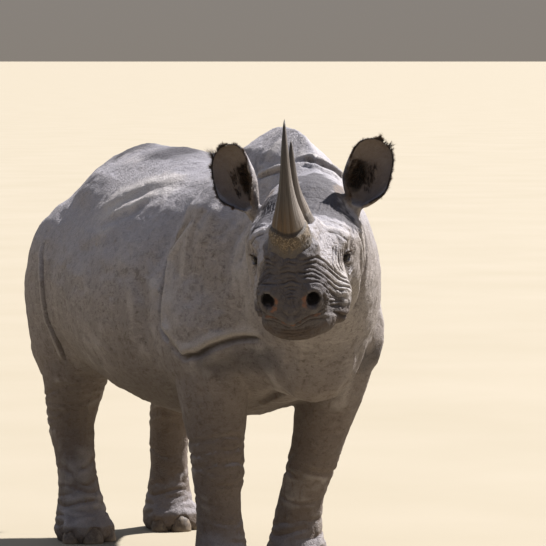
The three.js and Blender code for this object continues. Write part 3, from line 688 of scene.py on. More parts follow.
# %% Brow, forehead and the back of the jaw
BROW = [(77, 335, 11), (105, 311, 30), (135, 300, 47), (157, 281, 73), (169, 255, 111)]
JAW = [(165, -60, 110), (180, -30, 200), (184, 0, 254), (178, 40, 330), (160, 50, 420), (100, 62, 488)]
for side in SIDES:
    ridge(on_side(BROW, side), 60, 4, 0, 16)
    fold(on_side(np.array(BROW) + (-6, -34, -6), side), 6, 2.5, 1, shade=0.5)
    fold(on_side(np.array(BROW) + (6, 10, 22), side), 4, 2.6, 1)
    for k in range(6):
        rows = [(146 - k * 13, 60 + k * 10, -4 - k * 3), (150 - k * 16, 110 + k * 14, 6 - k * 5),
                (138 - k * 16, 170 + k * 12, 8 - k * 4)]
        fold(on_side(rows, side), 3.6, random.uniform(2.8, 4.6), 2.2, fade=(0.4, 0.4), shade=0.6)
    for k in range(6):
        first = 150 - k * 34
        rows = [(172 - k, first + 16, 70), (190, first, 150), (188, first - 6, 230), (170, first - 4, 310)]
        rows = np.array(rows, float) + random.normal(0, 5, (4, 3))
        fold(on_side(rows, side), 8, random.uniform(3.5, 6.5), 5, fade=(0.35, 0.35), shade=0.4)
    fold(on_side(JAW, side), 13, 12, 7, HEAD_AXES @ (0, -1, 0), fade=(0.2, 0.25), shade=0.6)
print("jaw folds, deepest", round(float(pressed.max()), 1), "mm")

# %% Folds of the body
# Rows of (out, back, height) on a flank, then the width, depth, swell and its direction, and the
# sides that have it. A deep fold ends sharply on the right side and runs out on the left.
AHEAD, BACK, UP = (0, -1, 0), (0, 1, 0), (0, 0, 1)
RIB_FOLD = [(368, 877, 1208), (343, 726, 1260), (288, 569, 1323), (228, 440, 1358), (181, 336, 1378)]
SECOND_RIB_FOLD = [(394, 736, 1182), (366, 671, 1231), (336, 539, 1268), (288, 453, 1309), (244, 385, 1339)]
FLANK_FOLD = [(390, 960, 1150), (392, 800, 1110), (380, 640, 1130), (350, 500, 1190)]
SHOULDER_FOLD = [(305, -16, 1289), (327, 70, 1238), (334, 160, 1162), (346, 176, 1123), (368, 159, 1045),
                 (385, 138, 964), (393, 118, 886), (395, 85, 862), (393, 50, 842)]
SHOULDER_EDGE = [(399, 299, 1080), (404, 270, 1012), (406, 248, 905), (399, 265, 820)]
HAM_FOLD = [(369, 1243, 1215), (402, 1224, 1112), (415, 1200, 1046), (419, 1184, 965), (402, 1179, 845),
            (380, 1162, 787), (352, 1161, 726), (335, 1165, 680)]
FORELEG_FOLD = [(394, 65, 866), (391, 37, 837), (385, -1, 812), (373, -24, 797), (364, -55, 802),
                (349, -88, 811), (324, -116, 829), (301, -139, 843), (247, -184, 865), (217, -241, 872),
                (204, -316, 873)]
BODY_FOLDS = [
    (RIB_FOLD, 26, 5, 9, UP, SIDES),
    (SECOND_RIB_FOLD, 22, 5, 8, UP, SIDES),
    (FLANK_FOLD, 24, 3, 4, UP, SIDES),
    (SHOULDER_FOLD, 12, 19, 12, AHEAD, SIDES),
    (SHOULDER_EDGE, 24, 7, 6, None, SIDES),
    (HAM_FOLD, 8, 17, 7, BACK, SIDES),
    (FORELEG_FOLD, 11, 22, 9, UP, SIDES[1:]),
]
DEEP = 12
for rows, width, depth, swell, towards, sides in BODY_FOLDS:
    for side in sides:
        line = np.array(rows, float) + random.normal(0, 2, (len(rows), 3))
        fade = (0.3, 0.12 if side < 0 else 0.5) if depth > DEEP else (0.4, 0.4)
        fold(from_body(line, side), width, depth, swell, towards, fade=fade, shade=min(0.9, 10 / width))
print("body folds, deepest", round(float(pressed.max()), 1), "mm")

# %% Folds of the neck and rings round the legs
for side in SIDES:
    for k in range(7):
        back = -350 + k * 56
        rows = [(150 + k * 10, back - 40, 1330), (230 + k * 12, back, 1230),
                (262 + k * 13, back + 26, 1110), (240 + k * 14, back + 30, 980)]
        rows = np.array(rows, float) + random.normal(0, 12, (4, 3))
        fold(from_body(rows, side), 15, random.uniform(2.5, 5), 5, fade=(0.45, 0.45), shade=0.12)
NAPE_FOLDS = [
    ([(-90, -270, 1474), (-60, -340, 1478), (-52, -373, 1473), (-27, -388, 1463), (-3, -400, 1450),
      (30, -410, 1425), (50, -408, 1405)], 9, 18, 14, BACK),
    ([(-150, -126, 1403), (-138, -150, 1414), (-125, -186, 1425), (-114, -218, 1432), (-106, -256, 1440)],
     8, 11, 7, BACK),
    ([(-88, -345, 1456), (-76, -397, 1455), (-54, -444, 1445), (-30, -470, 1432), (0, -480, 1405)],
     8, 5, 4, BACK),
    ([(-39, -64, 1547), (-84, -78, 1509), (-108, -93, 1476), (-124, -118, 1444)], 16, 6, 6, AHEAD),
    ([(-104, -43, 1496), (-128, -71, 1452), (-140, -121, 1420)], 14, 4, 5, AHEAD),
]
for rows, width, depth, swell, towards in NAPE_FOLDS:
    fold(from_body(rows), width, depth, swell, towards, fade=(0.2, 0.2), shade=0.6)


def leg_rings(out, back, heights, radius, depth):
    """Creases round a leg, each part of a ring that starts and ends somewhere else."""
    for height in heights:
        start, sweep = random.uniform(0, 6.28), random.uniform(2.4, 4.4)
        turn = np.linspace(start, start + sweep, 10)
        rows = [(out + radius * math.cos(a), back + radius * math.sin(a),
                 height + 14 * math.sin(2 * a + height)) for a in turn]
        width, share = random.uniform(5, 9), random.uniform(0.5, 1.1)
        fold(from_body(rows), width, depth * share, depth * 0.5, shade=0.28)


# Where each foot stands: (out, back).
FEET = {"front_left": (165, 220), "front_right": (-215, 10),
        "hind_left": (212, 1460), "hind_right": (-222, 1290)}
for foot, stand in FEET.items():
    leg_rings(*stand, range(74, 150, 15), 100, 4)
    leg_rings(*stand, range(170, 330, 32), 90, 3)
    leg_rings(*stand, range(360, 520, 22) if "front" in foot else range(440, 600, 24), 110, 4.5)
print("leg rings, deepest", round(float(pressed.max()), 1), "mm")

# %% The grain of the hide and its soft lumps
# Soft corrections of the face: (side, place on the head, radius, how far out).
FACE_PUSHES = [
    (-1, (138, 482, 214), 60, -28), (1, (134, 500, 228), 38, -10), (1, (104, 545, 258), 42, 15),
    (-1, (104, 545, 258), 42, 8), (1, (142, 425, 185), 62, 22), (-1, (140, 440, 180), 60, -9),
    (1, (122, 490, 262), 46, 17), (-1, (145, 348, 118), 44, -15),
]
# Soft lumps: (size in metres, seed, height, how much of it the face goes without).
LUMPS = [(0.17, 1, 3.5, 1), (0.06, 2, 2.2, 0.5), (0.022, 3, 1.2, 0)]
FURROW_DEPTH, FURROW_SIZE, NET_SIZE = 1.8, 0.036, 0.016
on_face = ramp(ahead, 60, 200) * ramp(below, 440, 380)
lift = (swollen - pressed) * MM
for size, seed, height, lost in LUMPS:
    lift += noise(points, size, seed) * height * MM * (1 - on_face * lost)
for side, place, radius, push in FACE_PUSHES:
    lift += push * MM * round_about(place, side, radius)
stretched = points * (1, 1, 0.45)
furrows = wrinkles(stretched, FURROW_SIZE, 4)
lift -= furrows * FURROW_DEPTH * MM * (1 - on_ear * 0.8)
on_brow = ramp(ahead, -70, 0) * ramp(below, 130, 60) * (1 - on_ear)
on_nose = ramp(ahead, 180, 320) * ramp(below, 420, 380)
face_net = wrinkles(points, NET_SIZE, 5) * np.maximum(on_nose, on_brow)
lift -= face_net * (1.7 + 0.7 * ramp(ahead, 420, 560)) * MM
# The furrows and the net of the face get painted shade as well.
crease = np.clip(np.maximum(crease, furrows * 0.35 + face_net * 0.4), 0, 1)
print("the skin moves", (lift.min() / MM).round(1), "to", (lift.max() / MM).round(1), "mm")

# %% Move the skin and open the lids
points = points + normals * lift[:, None]
# Half the slit's length and height as angles at the eye, how far round the eye the lids reach, how
# far out their edge is, and how deep the skin drops behind the eyeball.
LID_HALF = np.radians([56, 33])
LID_REACH, LID_EDGE, SLIT_DEPTH = 75, 24, 16.0
LOOK = {1: (0.68, -0.73, 0.04), -1: (-0.52, -0.85, 0.04)}


def eye_axes(side):
    """The middle of an eye, its line of sight, and its slit's two directions: along and across."""
    gaze = HEAD_AXES @ unit(LOOK[side])
    along = HEAD_AXES @ unit((side * 0.6, 0.72, 0.34))
    along = unit(along - gaze * (along @ gaze))
    return on_side([EYE], side)[0], gaze, along, np.cross(gaze, along)


def upper_side(side):
    """Which way across the slit is up."""
    return 1 if eye_axes(side)[3][2] > 0 else -1


def open_lids(side):
    """Draws the skin round an eye to two lids: inside the slit it drops behind the eyeball."""
    centre, gaze, along, across = eye_axes(side)
    offset = points - centre
    far = np.linalg.norm(offset, axis=1)
    near = np.nonzero((far < LID_REACH * MM) & (offset @ gaze > 0))[0]
    ray = offset[near] / far[near, None]
    away = np.arccos(np.clip(ray @ gaze, -1, 1))
    u, v = ray @ along, ray @ across
    flat = np.hypot(u, v) + 1e-9
    slit = np.hypot(away * u / flat / LID_HALF[0], away * v / flat / LID_HALF[1])
    hood = ramp(v * upper_side(side) / flat, -0.1, 0.7)
    edge = (LID_EDGE + (3 + 4 * hood) * bell(slit, 1.3, 0.22)) * MM
    target = edge + (SLIT_DEPTH * MM - edge) * ramp(slit, 1.06, 0.86)
    mix = ramp(slit, 2.3, 1.2)
    points[near] = centre + ray * (far[near] * (1 - mix) + target * mix)[:, None]
    # Painted shade along the edge of each lid.
    at_least(crease, near, bell(slit, 1.0, 0.2))
    return len(near)


for side in SIDES:
    print("lid points", open_lids(side))
lip_corners = sum(round_about((106, 562, 202), side, 34) for side in SIDES)
points = smooth(points, edges_of(skin.data), ROUNDS_LIPS, np.clip(lip_corners, 0, 1), give=0.0)
points[:, 2] = np.maximum(points[:, 2], 0)
move_points(skin.data, points)
write(skin, "crease", crease)
write(skin, "lift", np.clip(lift / (6 * MM), -1, 1))

# %% [markdown]
# ## Thin the net
# A viewer sees the face closely and the flanks as broad forms. Each region is thinned by itself to
# its own number of triangles, so the muzzle keeps its net and the whole stays under 200,000.

# %% Thin the net region by region
REGION_TRIANGLES = {"body": 90000, "head": 24000, "muzzle": 64000, "ears": 16000}


def regions(points):
    """The points of each region, as masks."""
    out, ahead, below = in_head(points)
    ears = near_ears(points) > 0.5
    muzzle = (ahead > 335) & (below < 300) & (below > -60) | (from_eyes(out, ahead, below) < 80)
    muzzle &= ~ears
    head = (ahead > 40) & (below < 430) & ~muzzle & ~ears
    return {"ears": ears, "muzzle": muzzle, "head": head, "body": ~(ears | muzzle | head)}


def thinned(piece, region, target):
    """Thins one region to a number of triangles, and says how many it had."""
    mesh = piece.data
    chosen = regions(points_of(mesh))[region]
    mesh.calc_loop_triangles()
    corners = read(mesh.loop_triangles, "vertices", 3, np.int32)
    inside = int(chosen[corners].all(axis=1).sum())
    group = piece.vertex_groups.new(name="thin")
    group.add(np.nonzero(chosen)[0].tolist(), 1.0, "REPLACE")
    thin = piece.modifiers.new("thin", "DECIMATE")
    thin.ratio = min(1, (len(corners) - inside + target) / len(corners))
    thin.vertex_group = "thin"
    thin.use_collapse_triangulate = True
    settle(piece)
    piece.vertex_groups.clear()
    return inside


for region, target in REGION_TRIANGLES.items():
    before = thinned(skin, region, target)
    print(region, "from", before, "triangles, now in all", len(skin.data.polygons))
points = points_of(skin.data)
points[:, 2] = np.maximum(points[:, 2], 0)
move_points(skin.data, points)

# %% [markdown]
# ## Horns
# A rhinoceros horn is a bundle of hard keratin fibres that grows from the skin. Rain, mud and
# rubbing wear it smooth and dark towards the tip. Its foot is a rough crust, with a groove round the
# horn above it. The same rings as in the solid are read more finely, and each is given its fibres.

# %% Horn sizes, and the line each horn grows along
HORN_SUNK, HORN_RINGS, HORN_TILT = 26, 14, 1.4
HORN_SHRINK = [(0, 1.04), (0.06, 0.96), (0.16, 0.85), (0.28, 0.68), (0.39, 0.5), (0.5, 0.36), (0.65, 0.24),
               (0.84, 0.14), (1, 0.04), (1.046, 0.003)]
HORNS = {
    "horn_front": dict(length=390, ahead=508, base=30, side=67, fore=86, lean=22, sweep=26,
                       groove=56, slope=13, notch=5, foot_rise=0.042),
    "horn_rear": dict(length=255, ahead=356, base=22, side=66, fore=62, lean=10, sweep=16,
                      groove=34, slope=8, notch=0.6, foot_rise=0.055),
}
HORN_CUT, HORN_SIDES = 150, 128  # rings and points round, in the finer mesh


def horn_axis(length, lean, sweep):
    """The middles of the solid's rings, read as one smooth line, and the lean of each ring."""
    pace = (length + HORN_SUNK) / (HORN_RINGS - 1)
    lean = np.radians(lean - sweep * np.linspace(0, 1, HORN_RINGS) * 2)
    steps = np.stack([0 * lean, -np.sin(lean), np.cos(lean)], axis=1) * pace
    middles = np.vstack([[0, 0, 0], steps.cumsum(axis=0)]) + (0, 0, -HORN_SUNK)
    middles[-1, 2] -= pace * 0.4
    return middles, lean


for name, sizes in HORNS.items():
    middles, leans = horn_axis(sizes["length"], sizes["lean"], sizes["sweep"])
    print(name, "leans", np.degrees(leans[[0, -1]]).round(), "degrees at its foot and tip")

# %% Horn meshes
def from_horn(local, ahead, base):
    """Points in millimetres from a horn's seat, as points on the animal."""
    seated = local @ turned("Y", HORN_TILT).T + (0, -ahead, base)
    return seated * MM @ HEAD_AXES.T + POLL


def horn_mesh(name, length, ahead, base, side, fore, lean, sweep, groove, slope, notch, foot_rise):
    """A horn on its seat: rings along its axis, with fibres, a crust at the foot and a groove."""
    middles, leans = horn_axis(length, lean, sweep)
    line = smooth_line(middles, HORN_CUT)
    share = np.linspace(0, HORN_SHRINK[-1][0], HORN_CUT)
    lean = np.interp(share, np.linspace(0, 1, HORN_RINGS), leans)
    width = read_table(HORN_SHRINK, share)[0]
    above = (share * (length + HORN_SUNK) - HORN_SUNK)[:, None]
    turn = np.linspace(0, 2 * math.pi, HORN_SIDES, endpoint=False)
    across = np.stack([0 * lean, np.cos(lean), np.sin(lean)], axis=1)
    circle = (np.cos(turn)[None, :, None] * (1, 0, 0) * side
              + np.sin(turn)[None, :, None] * across[:, None] * fore) * width[:, None, None]

    def on_horn(height):
        """Places in an upright copy of the horn, where the patterns are worked out."""
        places = np.broadcast_arrays(np.cos(turn) * side, np.sin(turn) * fore, height)
        return np.stack(places, -1).reshape(-1, 3)

    drawn = on_horn(above * 0.05)
    fibres = noise(drawn, 5, 1) * 0.7 + noise(drawn, 2.6, 2) * 0.45 + noise(drawn, 14, 3) * 0.8
    true = on_horn(above)
    crust = noise(true, 7, 4) * 2 + noise(true, 15, 5) * 2 + noise(true, 4.5, 7) * 1.4
    round_it = np.stack([np.cos(turn), np.sin(turn), 0 * turn], 1)
    waver = noise(round_it, 0.7, 6) * 5 - slope * np.sin(turn)
    below_groove = ramp(above - waver, groove + 3, groove - 7)
    shape = (HORN_CUT, HORN_SIDES)
    rise = fibres.reshape(shape) * (1.1 - 0.5 * share[:, None]) * width[:, None] ** 0.4
    rise += (crust.reshape(shape) + 3.0) * below_groove * notch / 5
    rise -= notch * bell(above - waver, groove, 6)
    rise += 2.0 * ramp(above, 16, 0)
    surface = line[:, None] + circle + units(circle) * rise[..., None]
    local = np.vstack([surface.reshape(-1, 3), line[-1] + (0, 0, 0.5)])
    points = from_horn(local, ahead, base)
    top, last = len(points) - 1, (HORN_CUT - 1) * HORN_SIDES
    faces = ring_faces(HORN_CUT, HORN_SIDES)
    faces += [[last + j, last + (j + 1) % HORN_SIDES, top] for j in range(HORN_SIDES)]
    faces.append(list(range(HORN_SIDES))[::-1])
    piece = mesh_object(name + "_keratin", points, faces)
    height = np.append(np.repeat(above, HORN_SIDES), length) * MM
    crusty = np.append(np.broadcast_to(below_groove, shape).ravel(), 0)
    write(piece, "grain", np.vstack([drawn, drawn[-1]]) * MM)
    write(piece, "height", height / (length * MM))
    write(piece, "crust", crusty * (0.5 + notch / 10))
    write(piece, "groove", np.append(bell(above - waver, groove, 8).ravel() * notch / 5, 0))
    write(piece, "foot", ramp(height + np.append(crust, 0) * 0.003, foot_rise, 0.012))
    return piece


horns = [horn_mesh(name, **sizes) for name, sizes in HORNS.items()]
for piece, name in zip(horns, HORNS):
    low, high = (np.array(c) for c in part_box(name))
    shape = points_of(piece.data)
    print(name, "top differs by", ((shape.max(axis=0) - high) / MM).round(1), "mm")

# %% [markdown]
# ## Eyes
# The eye is small for the head, dark brown, and always wet. The ball is a fine sphere, slightly
# bulged at the cornea, and the pupil and iris are rings round the line of sight.

# %% Eyeballs
def eyeball(side):
    """A ball that looks along its line of sight, with the angle from it kept on its points."""
    centre = on_side([EYE], side)[0]
    gaze = HEAD_AXES @ unit(LOOK[side])
    points, faces = ball(48, 32)
    turn = np.array(Vector(gaze).to_track_quat("Z", "Y").to_matrix())
    facing = np.clip(points[:, 2], -1, 1)
    radius = EYE_RADIUS * (1 + 0.06 * ramp(facing, math.cos(math.radians(38)), 1))
    points = points * radius[:, None] @ turn.T + centre
    piece = mesh_object("eyeball_left" if side > 0 else "eyeball_right", points, faces)
    write(piece, "from_sight", np.degrees(np.arccos(facing)))
    return piece


eyeballs = [eyeball(side) for side in SIDES]
print("eyeballs", [len(piece.data.polygons) for piece in eyeballs])

# %% [markdown]
# ## Nails
# Each foot has three hoof-like nails, worn flat where they meet the ground. Their ridges run down
# to the worn edge, so the mesh carries the broad ones and the finish the fine ones.

# %% Nails
# Each toe: (its turn round the foot, half width, half height, how far ahead of the foot's middle).
TOES = {"outer": (-44, 33, 50, 106), "middle": (0, 40, 58, 112), "inner": (44, 33, 50, 106)}
NAIL_THICK, NAIL_TILT = 30, -14


def nail(foot, toe):
    """A ridged, flattened ball, sunk in the foot and worn flat by the ground."""
    side = 1 if FEET[foot][0] > 0 else -1
    turn, wide, high, ahead = TOES[toe]
    points, faces = ball(40, 26)
    around = np.arctan2(points[:, 0], -points[:, 1])
    points *= (1 + 0.012 * np.sin(around * 15) + 0.01 * np.sin(points[:, 2] * 17))[:, None]
    points = points * (wide, NAIL_THICK, high) @ turned("X", NAIL_TILT).T + (0, -ahead, 14)
    points = points @ turned("Z", turn * side).T + (*FEET[foot], 0)
    points = points * MM + WITHERS * (1, 1, 0)
    points[:, 2] = np.maximum(points[:, 2], 0)
    return mesh_object(f"toenail_{foot}_{toe}", points, faces)


toenails = {f"nail_{foot}_{toe}": nail(foot, toe) for foot in FEET for toe in TOES}
print("toenails", len(toenails))

# %% [markdown]
# ## Finishes
# Colours are written as sRGB hex and turned to linear by one function. One small function adds a
# shader node, sets its values and makes its links.

# %% Colour and node helpers
def linear(code, alpha=1.0):
    """An sRGB hex colour as linear red, green, blue and alpha."""
    parts = [int(code[i:i + 2], 16) / 255 for i in (1, 3, 5)]
    return [p / 12.92 if p <= 0.04045 else ((p + 0.055) / 1.055) ** 2.4 for p in parts] + [alpha]


def feed(made, values):
    """Sets a node's inputs by name: each from a value, or by a link from a socket."""
    for name, value in values.items():
        socket = made.inputs[name]
        if isinstance(value, bpy.types.NodeSocket):
            made.id_data.links.new(value, socket)
        else:
            socket.default_value = value


def node(tree, kind, values=None, **settings):
    """Adds a node, with its settings by attribute and its inputs by name."""
    made = tree.nodes.new(kind)
    for name, value in settings.items():
        setattr(made, name, value)
    feed(made, values or {})
    return made


def layered(tree, colour, layers, rise="LINEAR"):
    """Lays colours over one another: (how much, from where to where it sets in, most, colour)."""
    for source, start, end, most, code in layers:
        amount = node(tree, "ShaderNodeMapRange", {"Value": source, "From Min": start, "From Max": end,
                                                   "To Max": most}, interpolation_type=rise)
        colour = node(tree, "ShaderNodeMix", {"Factor": amount.outputs["Result"], "A": colour,
                                              "B": linear(code)}, data_type="RGBA").outputs["Result"]
    return colour


def finish_named(name):
    """A new material, its node tree, its principled shader, and the place on the object."""
    material = bpy.data.materials.new(name)
    material.use_nodes = True
    tree = material.node_tree
    place = node(tree, "ShaderNodeTexCoord").outputs["Object"]
    return material, tree, tree.nodes["Principled BSDF"], place


print("a middle grey is", round(linear("#808080")[0], 3), "in linear light")

# %% Marks of the ears, the nose and the lips
# Each mark is a number from 0 to 1 on the skin's own points, worked out from where the point is.
points = points_of(skin.data)
normals = normals_of(skin.data)
out, ahead, below = in_head(points)
marks = {}
inner = np.zeros(len(points))
for seat in EAR_SEATS:
    turn, place = ear_matrix(seat)
    x, y, z = ((points - place) @ turn / MM).T
    facing = normals @ turn[:, 1]
    inside = ramp(-facing, 0.0, 0.35) * near_ears(points) * ramp(np.hypot(x, y), 100, 76)
    half_wide, half_high = (28, 50) if seat[0] > 0 else (36, 62)
    # The deep hollow of the ear is painted nearly black, as painted shade.
    pocket = np.hypot((x + seat[0] * 18) / half_wide, (z - 84) / half_high)
    pocket = pocket + noise(points, 0.012, 9) * 0.12
    inner = np.maximum(inner, inside * (0.45 + 0.55 * ramp(pocket, 1.4, 0.6)))
marks["cup"] = inner
# The nostril's opening is painted nearly black, as painted shade of the hole.
painted_nostril_shade = np.zeros(len(points))
for side in SIDES:
    near, gap, _, _ = beside(on_side([(70, 632, 117), (67, 606, 108), (64, 590, 100)], side), 40 * MM)
    ragged = noise(points[near], 0.018, 17) * 5
    at_least(painted_nostril_shade, near, ramp(gap / MM + ragged, 30, 20))
marks["painted_nostril_shade"] = painted_nostril_shade
raw = np.zeros(len(points))
for side in SIDES:
    near, gap, _, _ = beside(on_side([(70, 650, 122), (67, 606, 110)], side), 60 * MM)
    inwards = ramp(side * out[near], 74, 56) * ramp(below[near], 90, 115)
    at_least(raw, near, bell(gap / MM, 27, 9) * inwards)
    near, gap, _, _ = beside(laid(on_side(MOUTH[:4], side)), 30 * MM)
    at_least(raw, near, bell(gap / MM, 2, 7) * 0.65)
marks["raw"] = raw * (0.85 + 0.8 * noise(points, 0.012, 8))
marks["chin"] = ramp(below, 205, 240) * ramp(ahead, 400, 480) * (0.8 + 0.4 * noise(points, 0.02, 18))
print("marks of the head", {name: round(float(values.mean()), 4) for name, values in marks.items()})

# %% Painted shade, a darker crest, and dust with painted sunlight
# A darker band runs along the crest of the back. Painted shade lies on the skull, where the ears'
# shadows fall and on the temples, and under the fold over each foreleg. The dust layer is kept off
# all of these.
dark_crest_and_painted_shade = np.zeros(len(points))
# A darker band along the crest of the back.
SPINE = [(-40, 1340, 1440), (-40, 1150, 1466), (-40, 950, 1470), (-40, 750, 1466), (-40, 600, 1455)]
cloud = noise(points, 0.06, 12) * 0.3 + noise(points, 0.014, 16) * 0.2
near, gap, _, along = beside(laid(from_body(SPINE)), 200 * MM)
thick = 0.35 + 0.65 * np.maximum(bell(along, 0.2, 0.12), bell(along, 0.7, 0.16))
dark_crest_and_painted_shade[near] = ramp(gap / MM + cloud[near] * 110, 175, 10) * thick
# Painted shadow of the ears, and painted shade on the temples, the poll and the nape: (place on the head,
# reach in millimetres).
SKULL_PLACES = [((0, -110, 10), 100), ((80, -20, 5), 90), ((70, 110, 0), 140), ((-66, 110, 0), 115),
                ((-108, 190, 36), 85), ((140, 150, 60), 80), ((0, -50, 0), 80)]
for place, reach in SKULL_PLACES:
    far = np.linalg.norm(points - from_head([place])[0], axis=1) / MM / reach
    dark_crest_and_painted_shade = np.maximum(dark_crest_and_painted_shade, ramp(far + cloud, 1.25, 0.5) * 0.95)
# Painted shade in the hollow under the fold over each foreleg.
LEG_PIT = [(330, -100, 775), (285, -130, 770), (240, -170, 790), (195, -240, 800), (165, -330, 800)]
for side in SIDES:
    near, gap, _, _ = beside(laid(from_body(LEG_PIT, side)), 130 * MM)
    at_least(dark_crest_and_painted_shade, near, ramp(gap / MM + cloud[near] * 60, 105, 10) * 0.5)
marks["dark_crest_and_painted_shade"] = dark_crest_and_painted_shade
# Pale dust, which also stands in for sunlight: painted light along the band where the flank turns up
# towards the back, and on the left side of the neck, which faces the key light.
dust = np.zeros(len(points))
NECK_SIDE = [(250, -300, 1330), (300, -250, 1200), (320, -230, 1080)]
for rows, reach, side in ((RIB_FOLD, 120, 1), (RIB_FOLD, 120, -1), (NECK_SIDE, 150, 1)):
    near, gap, _, along = beside(laid(from_body(rows, side)), reach * 1.5 * MM)
    cloud = noise(points[near], 0.05, 14) * 30 + noise(points[near], 0.012, 15) * 25
    ends = 0.4 + 0.6 * ramp(along, 0, 0.3) * ramp(along, 1, 0.7)
    at_least(dust, near, ramp(gap / MM + cloud, reach * 1.2, -30) * ends)
marks["dust"] = dust * (1 - dark_crest_and_painted_shade)
# Dark lips and chin, and painted shade over the whole front of the face.
marks["muzzle"] = np.maximum(ramp(ahead, 400, 590) * ramp(below, 420, 330),
                             ramp(below, 190, 240) * ramp(ahead, 380, 440))
for name, values in marks.items():
    write(skin, name, values)
print("all marks", {name: round(float(values.mean()), 4) for name, values in marks.items()})

# %% [markdown]
# ### Dry hide
# Rhinoceros hide is thick, bare and dry. A net of fine cracks divides it into flat scales about 10 mm
# across, with finer grain inside. It is paler where it faces upwards, with dust and a painted blue
# skylight, and the flattest tops are darker, which is painted shade. It is darker and browner towards
# the ground. It has no shine, so the cracks and folds do the work.

# %% Patterns in the hide
hide, tree, shader, place = finish_named("hide_dry_and_dusty")
warp = node(tree, "ShaderNodeTexNoise", {"Vector": place, "Scale": 22.0, "Detail": 2.0}).outputs["Color"]
bent = node(tree, "ShaderNodeVectorMath", {0: warp, "Scale": 0.035}, operation="SCALE").outputs[0]
bent = node(tree, "ShaderNodeVectorMath", {0: place, 1: bent}, operation="ADD").outputs[0]
flatter = node(tree, "ShaderNodeMapping", {"Vector": bent, "Scale": (1.0, 1.0, 1.5)}).outputs["Vector"]
SCALE_MM, GRAIN_MM, STREAK_MM = 9, 5, 9
scales = node(tree, "ShaderNodeTexVoronoi", {"Vector": flatter, "Scale": 1000 / SCALE_MM},
              feature="DISTANCE_TO_EDGE").outputs["Distance"]
cracks = node(tree, "ShaderNodeMapRange", {"Value": scales, "From Min": 0.0, "From Max": 0.16, "To Min": 1.0,
                                           "To Max": 0.0}).outputs["Result"]
grain = node(tree, "ShaderNodeTexNoise", {"Vector": place, "Scale": 1000 / GRAIN_MM, "Detail": 3.0,
                                          "Roughness": 0.65}).outputs["Fac"]
patches = node(tree, "ShaderNodeTexNoise", {"Vector": bent, "Scale": 6.0, "Detail": 5.0,
                                            "Roughness": 0.6}).outputs["Fac"]
mottle = node(tree, "ShaderNodeTexNoise", {"Vector": bent, "Scale": 38.0, "Detail": 4.0,
                                           "Roughness": 0.7}).outputs["Fac"]
streaky = node(tree, "ShaderNodeMapping", {"Vector": bent, "Scale": (0.22, 0.22, 1.0)}).outputs["Vector"]
streaks = node(tree, "ShaderNodeTexNoise", {"Vector": streaky, "Scale": 1000 / STREAK_MM,
                                            "Detail": 2.0}).outputs["Fac"]
spots = node(tree, "ShaderNodeTexNoise", {"Vector": place, "Scale": 75.0, "Detail": 3.0,
                                          "Roughness": 0.6}).outputs["Fac"]
facing = node(tree, "ShaderNodeNewGeometry").outputs["Normal"]
upward = node(tree, "ShaderNodeSeparateXYZ", {0: facing}).outputs["Z"]
height = node(tree, "ShaderNodeSeparateXYZ", {0: place}).outputs["Z"]
mark = {name: node(tree, "ShaderNodeAttribute", attribute_name=name).outputs["Fac"]
        for name in ("crease", "lift", "cup", "raw", "muzzle", "painted_nostril_shade", "dark_crest_and_painted_shade", "dust", "chin")}
print("hide patterns:", len(tree.nodes), "nodes")

# %% Colours of the hide
LAYERS = [
    (patches, 0.35, 0.68, 0.7, "#948c88"),
    (mottle, 0.48, 0.7, 0.65, "#564d47"),
    (spots, 0.56, 0.68, 0.5, "#403936"),
    (streaks, 0.52, 0.7, 0.35, "#a39c97"),
    # Darker and browner towards the ground.
    (height, 1.1, 0.35, 0.5, "#67574a"),
    (height, 0.95, 0.5, 0.4, "#4c3d31"),
    # Dust on hide that faces upwards, tinted blue as painted skylight.
    (upward, 0.05, 0.5, 0.4, "#97969f"),
    # Painted shade: darker blue-grey on the flattest tops.
    (upward, 0.7, 1.0, 0.6, "#6a6971"),
    # Dust, and painted sunlight on the upper flanks and the left side of the neck.
    (mark["dust"], 0.1, 1.0, 0.72, "#aea8a6"),
    # Paler on raised skin: dust on the swells, and a painted highlight on them.
    (mark["lift"], 0.1, 0.8, 0.45, "#a9a29d"),
    # Painted shade on the skull and under the foreleg's fold, and a darker crest along the back.
    (mark["dark_crest_and_painted_shade"], 0.1, 0.8, 0.93, "#363338"),
    (cracks, 0.35, 1.0, 0.24, "#453d39"),
    # Dark lips and chin, and painted shade over the front of the face.
    (mark["muzzle"], 0.1, 1.0, 0.8, "#373132"),
    (mark["chin"], 0.1, 1.0, 0.55, "#48382b"),
    # Painted shade in the creases, the furrows and along the lids.
    (mark["crease"], 0.22, 1.0, 0.72, "#2d2521"),
    (mark["cup"], 0.05, 0.5, 0.75, "#6e6055"),
    # Painted shade: the ear's deep hollow is nearly black.
    (mark["cup"], 0.5, 1.0, 0.97, "#100c0a"),
    (mark["raw"], 0.2, 0.9, 0.62, "#7c5139"),
    # Painted shade: the nostrils' openings are nearly black.
    (mark["painted_nostril_shade"], 0.1, 0.9, 0.95, "#171314"),
]
colour = layered(tree, linear("#7f7875"), LAYERS, "SMOOTHSTEP")
print("colour layers:", len(LAYERS))

